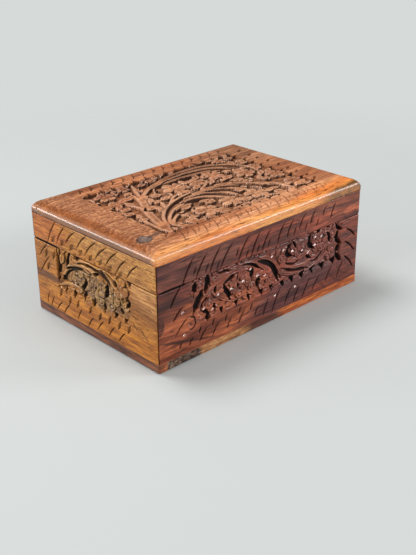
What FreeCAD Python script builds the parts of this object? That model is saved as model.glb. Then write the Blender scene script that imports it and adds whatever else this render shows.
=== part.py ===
import FreeCAD, Part
import math
import os
import Sketcher

# A hand-carved hardwood trinket box with a hinged lid, in millimetres.
# The origin is the middle of the underside, +Z is up and the long front looks towards -Y.
# Every board is made lying in its own frame, with its outer face towards -Y, then turned into place.

driving_sizes = {
    # the whole box
    "box_length": 152.0,
    "box_depth": 102.0,
    "wall_thick": 10.0,
    "corner_ease": 1.0,
    # the base: a bottom board with four mitred walls on it
    "bottom_thick": 5.2,
    "bottom_ease": 1.2,
    "base_wall_height": 37.5,
    # the lid: four mitred rails under a rounded top board
    "seam_gap": 0.4,
    "seam_ease": 0.4,
    "lid_rail_height": 14.2,
    "top_thick": 6.7,
    "top_round": 6.0,
    # the hinges, let into the back wall and the back rail
    "hinge_inset": 31.0,
    "hinge_length": 25.0,
    "leaf_reach": 8.5,
    "leaf_thick": 0.9,
    "leaf_gap": 0.2,
    "knuckle_radius": 1.9,
    "knuckle_gap": 0.3,
    "pin_radius": 1.0,
    "pin_clearance": 0.08,
    "pin_offset": 0.4,
    "mortise_clearance": 0.2,
    # the countersunk screws, two to a leaf
    "screw_spacing": 16.0,
    "screw_reach": 5.4,
    "screw_length": 7.0,
    "screw_head_radius": 1.9,
    "screw_shank_radius": 1.0,
    "screw_clearance": 0.1,
    # the carved top: a sunk field inside a plain margin
    "top_left_margin": 20.0,
    "top_right_margin": 21.0,
    "top_back_margin": 16.8,
    "top_front_margin": 15.0,
    # the carved walls: a sunk field that starts at the rim
    "wall_field_foot": 15.2,
    "front_left_margin": 20.0,
    "front_right_margin": 18.0,
    "end_left_margin": 20.5,
    "end_right_margin": 21.0,
    # the carver's cuts
    "carve_depth": 1.4,
    "carve_bite": 0.3,
    "notch_width": 3.2,
    "notch_reach": 4.2,
    "frond_width": 2.4,
    "frond_rise": 1.2,
    "flower_radius": 8.2,
    "bud_radius": 3.6,
    "flower_rise": 1.0,
    "stroke_pitch": 8.5,
    "stroke_width": 1.0,
    "stroke_depth": 0.8,
    "overrun": 1.0,
}

# Places on a carved field, as shares of its length from the left and of its height from the bottom.
# A frond is the places that its middle line passes through, from its foot to its tip.
top_frond_shares = (
    ((0.041, 0.014), (0.054, 0.157), (0.099, 0.356), (0.149, 0.513), (0.207, 0.655), (0.279, 0.749)),
    ((0.038, 0.043), (0.025, 0.157), (0.029, 0.242), (0.045, 0.342)),
    ((0.117, 0.399), (0.121, 0.513), (0.103, 0.627)),
    ((0.176, 0.556), (0.198, 0.698), (0.207, 0.769)),
    ((0.207, 0.627), (0.243, 0.783), (0.279, 0.897), (0.297, 0.954)),
    ((0.072, 0.100), (0.117, 0.242), (0.198, 0.370), (0.288, 0.450), (0.378, 0.493)),
    ((0.072, 0.043), (0.126, 0.177), (0.216, 0.302), (0.324, 0.356)),
    ((0.252, 0.712), (0.324, 0.798), (0.432, 0.869), (0.559, 0.920), (0.694, 0.932), (0.802, 0.883),
     (0.886, 0.783), (0.933, 0.641)),
    ((0.342, 0.781), (0.450, 0.858), (0.577, 0.877), (0.703, 0.869), (0.793, 0.803), (0.852, 0.698),
     (0.874, 0.584)),
    ((0.414, 0.798), (0.523, 0.813), (0.631, 0.812), (0.712, 0.792), (0.769, 0.726)),
    ((0.306, 0.393), (0.378, 0.405), (0.450, 0.365), (0.492, 0.299), (0.514, 0.228)),
    ((0.360, 0.439), (0.450, 0.442), (0.523, 0.390), (0.568, 0.308), (0.582, 0.228)),
    ((0.432, 0.476), (0.541, 0.456), (0.613, 0.385), (0.654, 0.299), (0.667, 0.228)),
    ((0.505, 0.501), (0.613, 0.462), (0.685, 0.385), (0.726, 0.285), (0.735, 0.199)),
    ((0.595, 0.501), (0.685, 0.442), (0.757, 0.328), (0.793, 0.214), (0.798, 0.114)),
    ((0.730, 0.356), (0.793, 0.279), (0.841, 0.171), (0.850, 0.043)),
)
front_frond_shares = (
    ((0.026, 0.036), (0.056, 0.332), (0.114, 0.601), (0.193, 0.762), (0.281, 0.816), (0.360, 0.735)),
    ((0.158, 0.753), (0.211, 0.852), (0.298, 0.906), (0.386, 0.843), (0.456, 0.646), (0.518, 0.287)),
    ((0.447, 0.897), (0.500, 0.780), (0.561, 0.448), (0.588, 0.152)),
    ((0.561, 0.314), (0.632, 0.170), (0.728, 0.090), (0.842, 0.135), (0.912, 0.332)),
    ((0.579, 0.448), (0.649, 0.332), (0.728, 0.287), (0.807, 0.359)),
    ((0.149, 0.484), (0.211, 0.242), (0.298, 0.081)),
    ((0.049, 0.152), (0.079, 0.556), (0.096, 0.870)),
)
end_frond_shares = (
    ((0.035, 0.126), (0.091, 0.422), (0.207, 0.664), (0.388, 0.807), (0.554, 0.780), (0.686, 0.619),
     (0.752, 0.439)),
    ((0.157, 0.601), (0.289, 0.807), (0.455, 0.919), (0.620, 0.888), (0.769, 0.673), (0.868, 0.422)),
    ((0.669, 0.951), (0.752, 0.870), (0.851, 0.691), (0.934, 0.511)),
    ((0.058, 0.072), (0.157, 0.188), (0.322, 0.242), (0.488, 0.152)),
)

# A bloom's third share is of the flower's or the bud's radius. A flower's fourth is of a full turn.
top_flower_shares = (
    (0.095, 0.883, 0.76, 0.936), (0.428, 0.670, 1.00, 0.809), (0.559, 0.662, 0.73, 0.682),
    (0.690, 0.689, 0.90, 0.554), (0.838, 0.548, 0.78, 0.427), (0.941, 0.363, 0.73, 0.300),
    (0.333, 0.137, 0.90, 0.172), (0.499, 0.160, 0.88, 0.045), (0.663, 0.151, 0.85, 0.918),
    (0.928, 0.134, 0.83, 0.790), (0.950, 0.613, 0.61, 0.663), (0.874, 0.912, 0.56, 0.536),
    (0.225, 0.917, 0.48, 0.408), (0.766, 0.419, 0.54, 0.281),
)
top_bud_shares = (
    (0.162, 0.467, 0.94), (0.288, 0.647, 0.92), (0.299, 0.553, 0.86), (0.063, 0.570, 0.89),
    (0.039, 0.319, 0.78), (0.126, 0.077, 0.94), (0.195, 0.080, 1.00), (0.097, 0.701, 0.83),
    (0.040, 0.698, 0.78), (0.207, 0.821, 0.72), (0.243, 0.533, 0.72), (0.962, 0.798, 0.89),
    (0.787, 0.678, 0.83), (0.040, 0.476, 0.81), (0.420, 0.262, 0.89), (0.405, 0.932, 0.94),
    (0.948, 0.917, 0.83), (0.762, 0.066, 0.83), (0.856, 0.336, 0.83),
)
front_bud_shares = (
    (0.259, 0.399, 1.00), (0.333, 0.444, 1.00), (0.487, 0.377, 0.94), (0.680, 0.735, 1.08),
    (0.833, 0.673, 1.08), (0.930, 0.305, 0.94), (0.119, 0.269, 0.75), (0.058, 0.807, 0.64),
    (0.147, 0.843, 0.61), (0.319, 0.143, 0.67), (0.395, 0.269, 0.75), (0.588, 0.673, 0.78),
    (0.754, 0.709, 0.72), (0.951, 0.735, 0.78),
)
end_bud_shares = (
    (0.372, 0.466, 1.00), (0.507, 0.350, 1.00), (0.620, 0.529, 0.83), (0.792, 0.444, 1.00),
    (0.907, 0.780, 0.78), (0.250, 0.377, 0.72), (0.944, 0.359, 0.72), (0.729, 0.179, 0.72),
    (0.610, 0.152, 0.75), (0.078, 0.780, 0.78), (0.213, 0.861, 0.67),
)

# Where a field's border is notched, as shares of that side, going round the field to the left.
top_right_notch_shares = (0.043, 0.164, 0.278, 0.385, 0.503, 0.613, 0.708, 0.808, 0.926)
top_back_notch_shares = (
    0.022, 0.063, 0.122, 0.186, 0.250, 0.313, 0.380, 0.450, 0.515, 0.578, 0.655, 0.721, 0.799, 0.862, 0.934,
)
front_foot_notch_shares = (
    0.111, 0.193, 0.285, 0.364, 0.447, 0.513, 0.591, 0.657, 0.727, 0.802, 0.876, 0.960,
)
front_right_notch_shares = (0.099, 0.350, 0.601, 0.852)
end_foot_notch_shares = (0.107, 0.231, 0.372, 0.504, 0.653, 0.793, 0.934)

# The other carved shapes, as shares of the sizes beside each name.
back_reach_share = 1.0             # of the notch's reach
side_reach_share = 0.55            # of the notch's reach
petal_count = 5
petal_root_share = 0.60            # of the flower's radius
petal_shoulder_shares = (0.24, 0.76)    # of the petal's turn
bud_sides = 6
bore_centre_share = 0.5            # of the seam's gap
knuckle_share = 1 / 6              # of the hinge, from its middle to a knuckle's end
stroke_lean_share = 0.62           # of the stroke pitch
front_stroke_shares = (0.12, 0.78)  # of the margin, from the field's edge outwards
back_stroke_shares = (0.31, 0.68)  # of the margin, from the field's edge outwards
rail_stroke_shares = (0.16, 0.80)  # of the rail's height
wall_stroke_shares = (0.12, 0.66)  # of the field's foot
stroke_run_shares = (0.10, 0.86)   # of the board's length
pilot_corner_shares = ((-1, -1), (1, -1), (1, 1), (-1, 1))  # of the half width of a square awl's hole

doc = FreeCAD.newDocument("trinket_box")
sheet = doc.addObject("Spreadsheet::Sheet", "sizes")


# A size carries its value and the formula that binds it to the sheet.
class Size:
    def __init__(self, value, formula):
        self.value = value
        self.formula = formula

    def __add__(self, other):
        return Size(self.value + other.value, f"({self.formula} + {other.formula})")

    def __sub__(self, other):
        return Size(self.value - other.value, f"({self.formula} - {other.formula})")

    def __mul__(self, share):
        return Size(self.value * share, f"({self.formula} * {share})")

    def __neg__(self):
        return Size(-self.value, f"(-{self.formula})")


def read_sizes(table):
    for row, (name, value) in enumerate(table.items(), start=1):
        sheet.set(f"A{row}", name)
        sheet.set(f"B{row}", str(value))
        sheet.setAlias(f"B{row}", name)
    doc.recompute()
    return {name: Size(sheet.get(name), f"sizes.{name}") for name in table}


size = read_sizes(driving_sizes)
zero = Size(0, "0")
same_level = 1e-6
upwards = FreeCAD.Vector(0, 0, 1)

half_length = size["box_length"] * 0.5
half_depth = size["box_depth"] * 0.5
rim_height = size["bottom_thick"] + size["base_wall_height"]
lid_floor_height = rim_height + size["seam_gap"]
lid_rail_top = lid_floor_height + size["lid_rail_height"]
pin_height = rim_height + size["seam_gap"] * bore_centre_share
pin_line = half_depth + size["pin_offset"]
hinge_middle = half_length - size["hinge_inset"]
knuckle_room = size["knuckle_radius"] + size["mortise_clearance"]
leaf_proud = (size["seam_gap"] - size["leaf_gap"]) * 0.5
mortise_depth = size["leaf_thick"] - leaf_proud
mortise_reach = size["leaf_reach"] + size["mortise_clearance"] - pin_line
screw_row = size["screw_reach"] - pin_line
pilot_half = size["screw_shank_radius"] + size["screw_clearance"]


# Bodies, sketches and features.
def new_body(name, turn, x, y, z, tilt=0):
    body = doc.addObject("PartDesign::Body", name)
    body.Label = name
    spin = FreeCAD.Rotation(upwards, turn)
    lean = FreeCAD.Rotation(FreeCAD.Vector(1, 0, 0), tilt)
    body.Placement = FreeCAD.Placement(FreeCAD.Vector(x.value, y.value, z.value), spin.multiply(lean))
    for axis, place in (("x", x), ("y", y), ("z", z)):
        body.setExpression(f"Placement.Base.{axis}", place.formula)
    return body


def origin_feature(body, role):
    return next(item for item in body.Origin.OriginFeatures if item.Role == role)


def new_sketch(body, role, name, height=zero):
    sketch = body.newObject("Sketcher::SketchObject", name)
    sketch.AttachmentSupport = [(origin_feature(body, role), "")]
    sketch.MapMode = "FlatFace"
    sketch.setExpression("AttachmentOffset.Base.z", height.formula)
    return sketch


def pin_point(sketch, edge, x, y, point=1):
    for kind, place, axis in (("DistanceX", x, -2), ("DistanceY", y, -1)):
        if place is zero:
            sketch.addConstraint(Sketcher.Constraint("PointOnObject", edge, point, axis))
        else:
            mark = sketch.addConstraint(Sketcher.Constraint(kind, -1, 1, edge, point, place.value))
            sketch.setExpression(f"Constraints[{mark}]", place.formula)


def pin_radius(sketch, edge, radius):
    mark = sketch.addConstraint(Sketcher.Constraint("Radius", edge, radius.value))
    sketch.setExpression(f"Constraints[{mark}]", radius.formula)


def flat(x, y):
    return FreeCAD.Vector(x, y, 0)


# The round stretch between two corners, with its centre on the left.
def round_edge(start, end, radius):
    chord = end - start
    left = flat(-chord.y, chord.x).normalize()
    rise = math.sqrt(max(radius ** 2 - (chord.Length / 2) ** 2, 0))
    centre = (start + end) / 2 + left * rise
    first = math.atan2(start.y - centre.y, start.x - centre.x)
    last = math.atan2(end.y - centre.y, end.x - centre.x)
    return Part.ArcOfCircle(Part.Circle(centre, upwards, radius), first, last)


# A closed outline, anticlockwise. A corner with a third value starts a round stretch of that radius.
def draw_outline(sketch, corners):
    first = sketch.GeometryCount
    count = len(corners)
    points = [flat(corner[0].value, corner[1].value) for corner in corners]
    for number, corner in enumerate(corners):
        start, end = points[number], points[(number + 1) % count]
        if len(corner) > 2:
            sketch.addGeometry(round_edge(start, end, corner[2].value))
        else:
            sketch.addGeometry(Part.LineSegment(start, end))
    for number, corner in enumerate(corners):
        edge = first + number
        sketch.addConstraint(Sketcher.Constraint("Coincident", edge, 2, first + (number + 1) % count, 1))
        pin_point(sketch, edge, corner[0], corner[1])
        if len(corner) > 2:
            pin_radius(sketch, edge, corner[2])


def draw_rectangle(sketch, left, right, low, high):
    draw_outline(sketch, ((left, low), (right, low), (right, high), (left, high)))


def draw_circle(sketch, x, y, radius):
    edge = sketch.addGeometry(Part.Circle(flat(x.value, y.value), upwards, radius.value))
    pin_point(sketch, edge, x, y, point=3)
    pin_radius(sketch, edge, radius)


def pad(body, sketch, length, name, centred=False):
    feature = body.newObject("PartDesign::Pad", name)
    feature.Profile = sketch
    feature.setExpression("Length", length.formula)
    feature.Midplane = centred
    doc.recompute()
    return feature


def cut(body, sketch, depth, name, forwards=False, centred=False):
    before = body.Shape.Volume
    feature = body.newObject("PartDesign::Pocket", name)
    feature.Profile = sketch
    feature.setExpression("Length", depth.formula)
    feature.Reversed = forwards
    feature.Midplane = centred
    doc.recompute()
    if not body.Shape.Volume < before:
        raise RuntimeError(f"{name} cuts nothing")
    return feature


def edges_where(shape, test):
    return [f"Edge{number}" for number, edge in enumerate(shape.Edges, start=1) if test(edge)]


def dress(body, kind, feature, edges, amount, name):
    result = body.newObject(f"PartDesign::{kind}", name)
    result.Base = (feature, edges)
    result.setExpression("Radius" if kind == "Fillet" else "Size", amount.formula)
    doc.recompute()
    return result


def lies_at(edge, level):
    return all(abs(vertex.Z - level.value) < same_level for vertex in edge.Vertexes)


# An upright board with a mitre at each end and its outer seam edge taken off.
def mitred_board(name, turn, half_run, half_across, foot, height, eased_top):
    body = new_body(name, turn, zero, zero, foot)
    ease = size["corner_ease"]
    tip = ease * (1 - math.sqrt(0.5))
    thick = size["wall_thick"]
    sketch = new_sketch(body, "XY_Plane", f"{name}_plan")
    draw_outline(sketch, (
        (-(half_run - ease), -half_across),
        (half_run - ease, -half_across, ease),
        (half_run - tip, tip - half_across),
        (half_run - thick, thick - half_across),
        (-(half_run - thick), thick - half_across),
        (-(half_run - tip), tip - half_across, ease),
    ))
    board = pad(body, sketch, height, f"{name}_board")
    seam = height if eased_top else zero
    outer = ease - half_across

    def outer_seam_edge(edge):
        return lies_at(edge, seam) and all(vertex.Y < outer.value for vertex in edge.Vertexes)

    edges = edges_where(board.Shape, outer_seam_edge)
    dress(body, "Chamfer", board, edges, size["seam_ease"], f"{name}_seam")
    return body


# A flat board with rounded long edges and the box's eased corners.
def flat_board(name, foot, thick, round_over, rounded_top):
    body = new_body(name, 0, zero, zero, foot)
    sketch = new_sketch(body, "XY_Plane", f"{name}_plan")
    draw_rectangle(sketch, -half_length, half_length, -half_depth, half_depth)
    board = pad(body, sketch, thick, f"{name}_board")
    rounded = thick if rounded_top else zero
    edges = edges_where(board.Shape, lambda edge: lies_at(edge, rounded))
    dress(body, "Fillet", board, edges, round_over, f"{name}_round")
    ease_corners(body, name, thick)
    return body


def ease_corners(body, name, thick):
    ease = size["corner_ease"]
    beyond_length = half_length + size["overrun"]
    beyond_depth = half_depth + size["overrun"]
    sketch = new_sketch(body, "XY_Plane", f"{name}_corners")
    draw_rectangle(sketch, -beyond_length, beyond_length, -beyond_depth, beyond_depth)
    draw_outline(sketch, (
        (-(half_length - ease), -half_depth),
        (half_length - ease, -half_depth, ease),
        (half_length, -(half_depth - ease)),
        (half_length, half_depth - ease, ease),
        (half_length - ease, half_depth),
        (-(half_length - ease), half_depth, ease),
        (-half_length, half_depth - ease),
        (-half_length, -(half_depth - ease), ease),
    ))
    cut(body, sketch, thick, f"{name}_corner_ease", forwards=True)


# A carved field: where it lies on the board's face and how deep the face is in the board's frame.
class Field:
    def __init__(self, body, role, face, left, right, low, high):
        self.body = body
        self.role = role
        self.face = face
        self.left = left.value
        self.right = right.value
        self.low = low.value
        self.high = high.value

    def at(self, share):
        x = self.left + (self.right - self.left) * share[0]
        y = self.low + (self.high - self.low) * share[1]
        return flat(x, y)

    def sunk_sketch(self, name):
        return new_sketch(self.body, self.role, name, self.face - size["carve_depth"] - size["carve_bite"])


# A closed ring of straight chisel cuts.
def ring_of_cuts(corners):
    return [Part.LineSegment(corner, corners[(number + 1) % len(corners)])
            for number, corner in enumerate(corners)]


# The corners of one side of a field, which has a notch cut outwards at each place.
def notched_side(start, end, places, reach_share):
    run = end - start
    ahead = (end - start).normalize()
    half = ahead * (size["notch_width"].value / 2)
    outwards = flat(ahead.y, -ahead.x) * (size["notch_reach"].value * reach_share)
    corners = [start]
    for place in places:
        middle = start + run * place
        corners.extend((middle - half, middle + outwards, middle + half))
    return corners


# Each side of the field, from its foot round to its left, brings its notches and their reach.
def carve_field(field, sides):
    name = field.body.Name
    corners = [field.at(share) for share in ((0, 0), (1, 0), (1, 1), (0, 1))]
    outline = []
    for number, (places, reach_share) in enumerate(sides):
        outline.extend(notched_side(corners[number], corners[(number + 1) % 4], places, reach_share))
    sketch = new_sketch(field.body, field.role, f"{name}_field", field.face)
    sketch.addGeometry(ring_of_cuts(outline))
    cut(field.body, sketch, size["carve_depth"], f"{name}_sunk_field")


# A frond in straight chisel cuts: pointed at both ends and of one width between them.
def frond_corners(line):
    half = size["frond_width"].value / 2
    left = []
    right = []
    for before, here, after in zip(line, line[1:], line[2:]):
        run = after - before
        side = flat(-run.y, run.x).normalize() * half
        left.append(here + side)
        right.append(here - side)
    return [line[0]] + right + [line[-1]] + left[::-1]


def raise_fronds(field, fronds):
    for number, shares in enumerate(fronds, start=1):
        name = f"{field.body.Name}_frond_{number}"
        sketch = field.sunk_sketch(f"{name}_outline")
        sketch.addGeometry(ring_of_cuts(frond_corners([field.at(share) for share in shares])))
        pad(field.body, sketch, size["frond_rise"] + size["carve_bite"], name)


# The corners of one flower: blunt petals, three chisel cuts to each.
def petals(centre, radius, first_turn):
    corners = []
    for number in range(petal_count):
        turns = [number] + [number + share for share in petal_shoulder_shares]
        for turn, reach in zip(turns, (radius * petal_root_share, radius, radius)):
            angle = 2 * math.pi * (first_turn + turn / petal_count)
            corners.append(centre + flat(reach * math.cos(angle), reach * math.sin(angle)))
    return corners


# The corners of a bud: equal straight sides round a centre.
def even_corners(centre, radius):
    turns = [2 * math.pi * number / bud_sides for number in range(bud_sides)]
    return [centre + flat(radius * math.cos(turn), radius * math.sin(turn)) for turn in turns]


def raise_blooms(field, flowers, buds):
    flower = size["flower_radius"].value
    bud = size["bud_radius"].value
    name = f"{field.body.Name}_blooms"
    sketch = field.sunk_sketch(f"{name}_outline")
    for x, y, radius_share, turn_share in flowers:
        sketch.addGeometry(ring_of_cuts(petals(field.at((x, y)), flower * radius_share, turn_share)))
    for x, y, radius_share in buds:
        sketch.addGeometry(ring_of_cuts(even_corners(field.at((x, y)), bud * radius_share)))
    pad(field.body, sketch, size["flower_rise"] + size["carve_bite"], name)


# A row of slanted gouge strokes between two levels, each a wedge that widens to its head.
def carve_strokes(body, role, face, half_run, low, high, name):
    first = half_run.value * (2 * stroke_run_shares[0] - 1)
    last = half_run.value * (2 * stroke_run_shares[1] - 1)
    count = max(round((last - first) / size["stroke_pitch"].value), 2)
    foot = flat(first, low)
    head = foot + flat((last - first) / count * stroke_lean_share, high - low)
    run = head - foot
    side = flat(-run.y, run.x).normalize() * (size["stroke_width"].value / 2)
    sketch = new_sketch(body, role, f"{name}_outline", face)
    sketch.addGeometry(ring_of_cuts([foot, head - side, head + side]))
    stroke = cut(body, sketch, size["stroke_depth"], name)
    row = body.newObject("PartDesign::LinearPattern", f"{name}_row")
    row.Originals = [stroke]
    row.Direction = (origin_feature(body, "X_Axis"), [""])
    row.Length = (last - first) * (count - 1) / count
    row.Occurrences = count
    body.Tip = row
    doc.recompute()


# The mortises for the two hinges, in the face of the back wall or rail that meets the seam.
def cut_hinge_seats(body, seam, pin_level, into_rail):
    name = body.Name
    half_leaf = size["hinge_length"] * 0.5 + size["mortise_clearance"]
    outside = -(half_depth + size["overrun"])
    plan = new_sketch(body, "XY_Plane", f"{name}_mortise_outline", seam)
    draw_rectangle(plan, hinge_middle - half_leaf, hinge_middle + half_leaf, outside, mortise_reach)
    mortise = cut(body, plan, mortise_depth, f"{name}_mortise", forwards=into_rail)
    ring = new_sketch(body, "YZ_Plane", f"{name}_barrel_outline", hinge_middle)
    draw_circle(ring, -pin_line, pin_level, knuckle_room)
    barrel = cut(body, ring, half_leaf * 2, f"{name}_barrel_seat", centred=True)
    holes = new_sketch(body, "XY_Plane", f"{name}_pilot_outline", seam)
    for side in (-0.5, 0.5):
        centre = hinge_middle + size["screw_spacing"] * side
        draw_outline(holes, [(centre + pilot_half * along, screw_row + pilot_half * across)
                             for along, across in pilot_corner_shares])
    pilot_depth = size["screw_length"] + size["screw_clearance"]
    pilot = cut(body, holes, pilot_depth, f"{name}_pilots", forwards=into_rail)
    twin = body.newObject("PartDesign::Mirrored", f"{name}_other_hinge")
    twin.Originals = [mortise, barrel, pilot]
    twin.MirrorPlane = (origin_feature(body, "YZ_Plane"), [""])
    body.Tip = twin
    doc.recompute()


# A leaf: a plate beside the seam and the knuckles that it carries, round the pin's line at the origin.
def hinge_leaf(name, x, plate_corners, plate_level, knuckle_spans, hole_levels):
    body = new_body(name, 0, x, pin_line, pin_height)
    plan = new_sketch(body, "XY_Plane", f"{name}_plan", plate_level)
    draw_outline(plan, plate_corners)
    pad(body, plan, size["leaf_thick"], f"{name}_plate")
    for number, (start, end) in enumerate(knuckle_spans, start=1):
        ring = new_sketch(body, "YZ_Plane", f"{name}_knuckle_{number}_ring", start)
        draw_circle(ring, zero, zero, size["knuckle_radius"])
        pad(body, ring, end - start, f"{name}_knuckle_{number}")
    bore = new_sketch(body, "YZ_Plane", f"{name}_bore_ring")
    draw_circle(bore, zero, zero, size["pin_radius"] + size["pin_clearance"])
    cut(body, bore, size["hinge_length"] + size["overrun"] * 2, f"{name}_bore", centred=True)
    countersink_leaf(body, hole_levels)


# Two holes that widen from the wood to the open face, made by turning one and repeating it.
def countersink_leaf(body, hole_levels):
    name = body.Name
    wood, face = hole_levels
    left = size["screw_spacing"] * -0.5
    narrow = left + size["screw_shank_radius"] + size["screw_clearance"]
    wide = left + size["screw_head_radius"] + size["screw_clearance"]
    section = new_sketch(body, "XZ_Plane", f"{name}_hole_section", size["screw_reach"])
    draw_outline(section, ((left, wood), (narrow, wood), (wide, face), (left, face)))
    before = body.Shape.Volume
    hole = body.newObject("PartDesign::Groove", f"{name}_hole")
    hole.Profile = section
    hole.ReferenceAxis = (section, ["Edge4"])
    doc.recompute()
    if not body.Shape.Volume < before:
        raise RuntimeError(f"{name} has no screw hole")
    repeat_screw(body, hole, f"{name}_holes")


def repeat_screw(body, feature, name):
    pair = body.newObject("PartDesign::LinearPattern", name)
    pair.Originals = [feature]
    pair.Direction = (origin_feature(body, "X_Axis"), [""])
    pair.setExpression("Length", size["screw_spacing"].formula)
    pair.Occurrences = 2
    body.Tip = pair
    doc.recompute()


# A pin along X through all the knuckles of one hinge.
def hinge_pin(name, x):
    body = new_body(name, 0, x, pin_line, pin_height)
    ring = new_sketch(body, "YZ_Plane", f"{name}_ring")
    draw_circle(ring, zero, zero, size["pin_radius"])
    pad(body, ring, size["hinge_length"], f"{name}_rod", centred=True)


# Two countersunk screws, each with its head at the origin's level and its end down.
def screws(name, x, head_level, tilt):
    body = new_body(name, 0, x, pin_line - size["screw_reach"], pin_height + head_level, tilt)
    left = size["screw_spacing"] * -0.5
    profile = new_sketch(body, "XZ_Plane", f"{name}_profile")
    draw_outline(profile, (
        (left, -size["screw_length"]),
        (left + size["screw_shank_radius"], -size["screw_length"]),
        (left + size["screw_shank_radius"], -size["leaf_thick"]),
        (left + size["screw_head_radius"], zero),
        (left, zero),
    ))
    turned = body.newObject("PartDesign::Revolution", f"{name}_screw")
    turned.Profile = profile
    turned.ReferenceAxis = (profile, ["Edge5"])
    doc.recompute()
    repeat_screw(body, turned, f"{name}_pair")


def hinge(side, x):
    half = size["hinge_length"] * 0.5
    reach = -size["leaf_reach"]
    room = -knuckle_room
    half_gap = size["knuckle_gap"] * 0.5
    inner = size["hinge_length"] * knuckle_share + half_gap
    tongue = size["hinge_length"] * knuckle_share - half_gap
    low = -(size["leaf_gap"] * 0.5 + size["leaf_thick"])
    high = size["leaf_gap"] * 0.5
    base_plate = ((-half, reach), (half, reach), (half, zero), (inner, zero),
                  (inner, room), (-inner, room), (-inner, zero), (-half, zero))
    lid_plate = ((-half, reach), (half, reach), (half, room), (tongue, room),
                 (tongue, zero), (-tongue, zero), (-tongue, room), (-half, room))
    base_spans = ((-half, -inner), (inner, half))
    lid_spans = ((-tongue, tongue),)
    hinge_leaf(f"{side}_hinge_base_leaf", x, base_plate, low, base_spans, (low, -high))
    hinge_leaf(f"{side}_hinge_lid_leaf", x, lid_plate, high, lid_spans, (-low, high))
    hinge_pin(f"{side}_hinge_pin", x)
    screws(f"{side}_hinge_base_screws", x, -high, 0)
    screws(f"{side}_hinge_lid_screws", x, high, 180)


# The base.
def base_wall(name, turn, half_run, half_across):
    foot = size["bottom_thick"]
    height = size["base_wall_height"]
    return mitred_board(name, turn, half_run, half_across, foot, height, True)


def carve_wall(body, half_run, half_across, left_margin, right_margin, carving):
    foot_notches, right_notches, fronds, buds = carving
    left = left_margin - half_run
    right = half_run - right_margin
    foot = size["wall_field_foot"]
    rim = size["base_wall_height"]
    carved = Field(body, "XZ_Plane", half_across, left, right, foot, rim)
    opened = Field(body, "XZ_Plane", half_across, left, right, foot, rim + size["overrun"])
    carve_field(opened, ((foot_notches, side_reach_share), (right_notches, side_reach_share),
                         ((), 0), ((), 0)))
    raise_fronds(carved, fronds)
    raise_blooms(carved, (), buds)
    low, high = (foot.value * share for share in wall_stroke_shares)
    carve_strokes(body, "XZ_Plane", half_across, half_run, low, high, f"{body.Name}_strokes")


front_carving = (front_foot_notch_shares, front_right_notch_shares, front_frond_shares, front_bud_shares)
end_carving = (end_foot_notch_shares, (), end_frond_shares, end_bud_shares)
flat_board("bottom_board", zero, size["bottom_thick"], size["bottom_ease"], False)
front_wall = base_wall("base_front_wall", 0, half_length, half_depth)
left_wall = base_wall("base_left_wall", -90, half_depth, half_length)
right_wall = base_wall("base_right_wall", 90, half_depth, half_length)
back_wall = base_wall("base_back_wall", 180, half_length, half_depth)
carve_wall(front_wall, half_length, half_depth, size["front_left_margin"], size["front_right_margin"],
           front_carving)
for end_wall in (left_wall, right_wall):
    carve_wall(end_wall, half_depth, half_length, size["end_left_margin"], size["end_right_margin"],
               end_carving)
wall_pin_level = size["base_wall_height"] + size["seam_gap"] * bore_centre_share
cut_hinge_seats(back_wall, size["base_wall_height"], wall_pin_level, False)


# The lid.
def lid_rail(name, turn, half_run, half_across):
    return mitred_board(name, turn, half_run, half_across, lid_floor_height, size["lid_rail_height"], False)


def carve_rail(body, half_run, half_across):
    low, high = (size["lid_rail_height"].value * share for share in rail_stroke_shares)
    carve_strokes(body, "XZ_Plane", half_across, half_run, low, high, f"{body.Name}_strokes")


def carve_top(body):
    left = size["top_left_margin"] - half_length
    right = half_length - size["top_right_margin"]
    low = size["top_front_margin"] - half_depth
    high = half_depth - size["top_back_margin"]
    carved = Field(body, "XY_Plane", size["top_thick"], left, right, low, high)
    carve_field(carved, (((), 0), (top_right_notch_shares, side_reach_share),
                         (top_back_notch_shares, back_reach_share), ((), 0)))
    raise_fronds(carved, top_frond_shares)
    raise_blooms(carved, top_flower_shares, top_bud_shares)
    borders = (("front", low, size["top_front_margin"], front_stroke_shares),
               ("back", high, -size["top_back_margin"], back_stroke_shares))
    for side, edge, margin, shares in borders:
        name = f"{body.Name}_{side}_strokes"
        near, far = sorted(edge.value - margin.value * share for share in shares)
        carve_strokes(body, "XY_Plane", size["top_thick"], half_length, near, far, name)


front_rail = lid_rail("lid_front_rail", 0, half_length, half_depth)
left_rail = lid_rail("lid_left_rail", -90, half_depth, half_length)
right_rail = lid_rail("lid_right_rail", 90, half_depth, half_length)
back_rail = lid_rail("lid_back_rail", 180, half_length, half_depth)
carve_rail(front_rail, half_length, half_depth)
carve_rail(left_rail, half_depth, half_length)
carve_rail(right_rail, half_depth, half_length)
cut_hinge_seats(back_rail, zero, -(size["seam_gap"] * bore_centre_share), True)
carve_top(flat_board("lid_top_board", lid_rail_top, size["top_thick"], size["top_round"], True))

hinge("left", -hinge_middle)
hinge("right", hinge_middle)

doc.recompute()
for item in doc.Objects:
    if "Invalid" in item.State or "Error" in item.State:
        raise RuntimeError(f"{item.Label} did not compute: {item.State}")
pieces = [item for item in doc.Objects if item.isDerivedFrom("PartDesign::Body")]
for piece in pieces:
    if piece.Shape.isNull() or not piece.Shape.isValid():
        raise RuntimeError(f"{piece.Label} has no sound shape")

os.makedirs("parts", exist_ok=True)
for piece in pieces:
    piece.Shape.exportStep(os.path.join("parts", f"{piece.Label}.step"))
    print(piece.Label, len(piece.Shape.Solids), "solids", round(piece.Shape.Volume, 2))
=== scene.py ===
import math
import bmesh
import bpy
import numpy as np
from mathutils import Matrix, Vector


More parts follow.
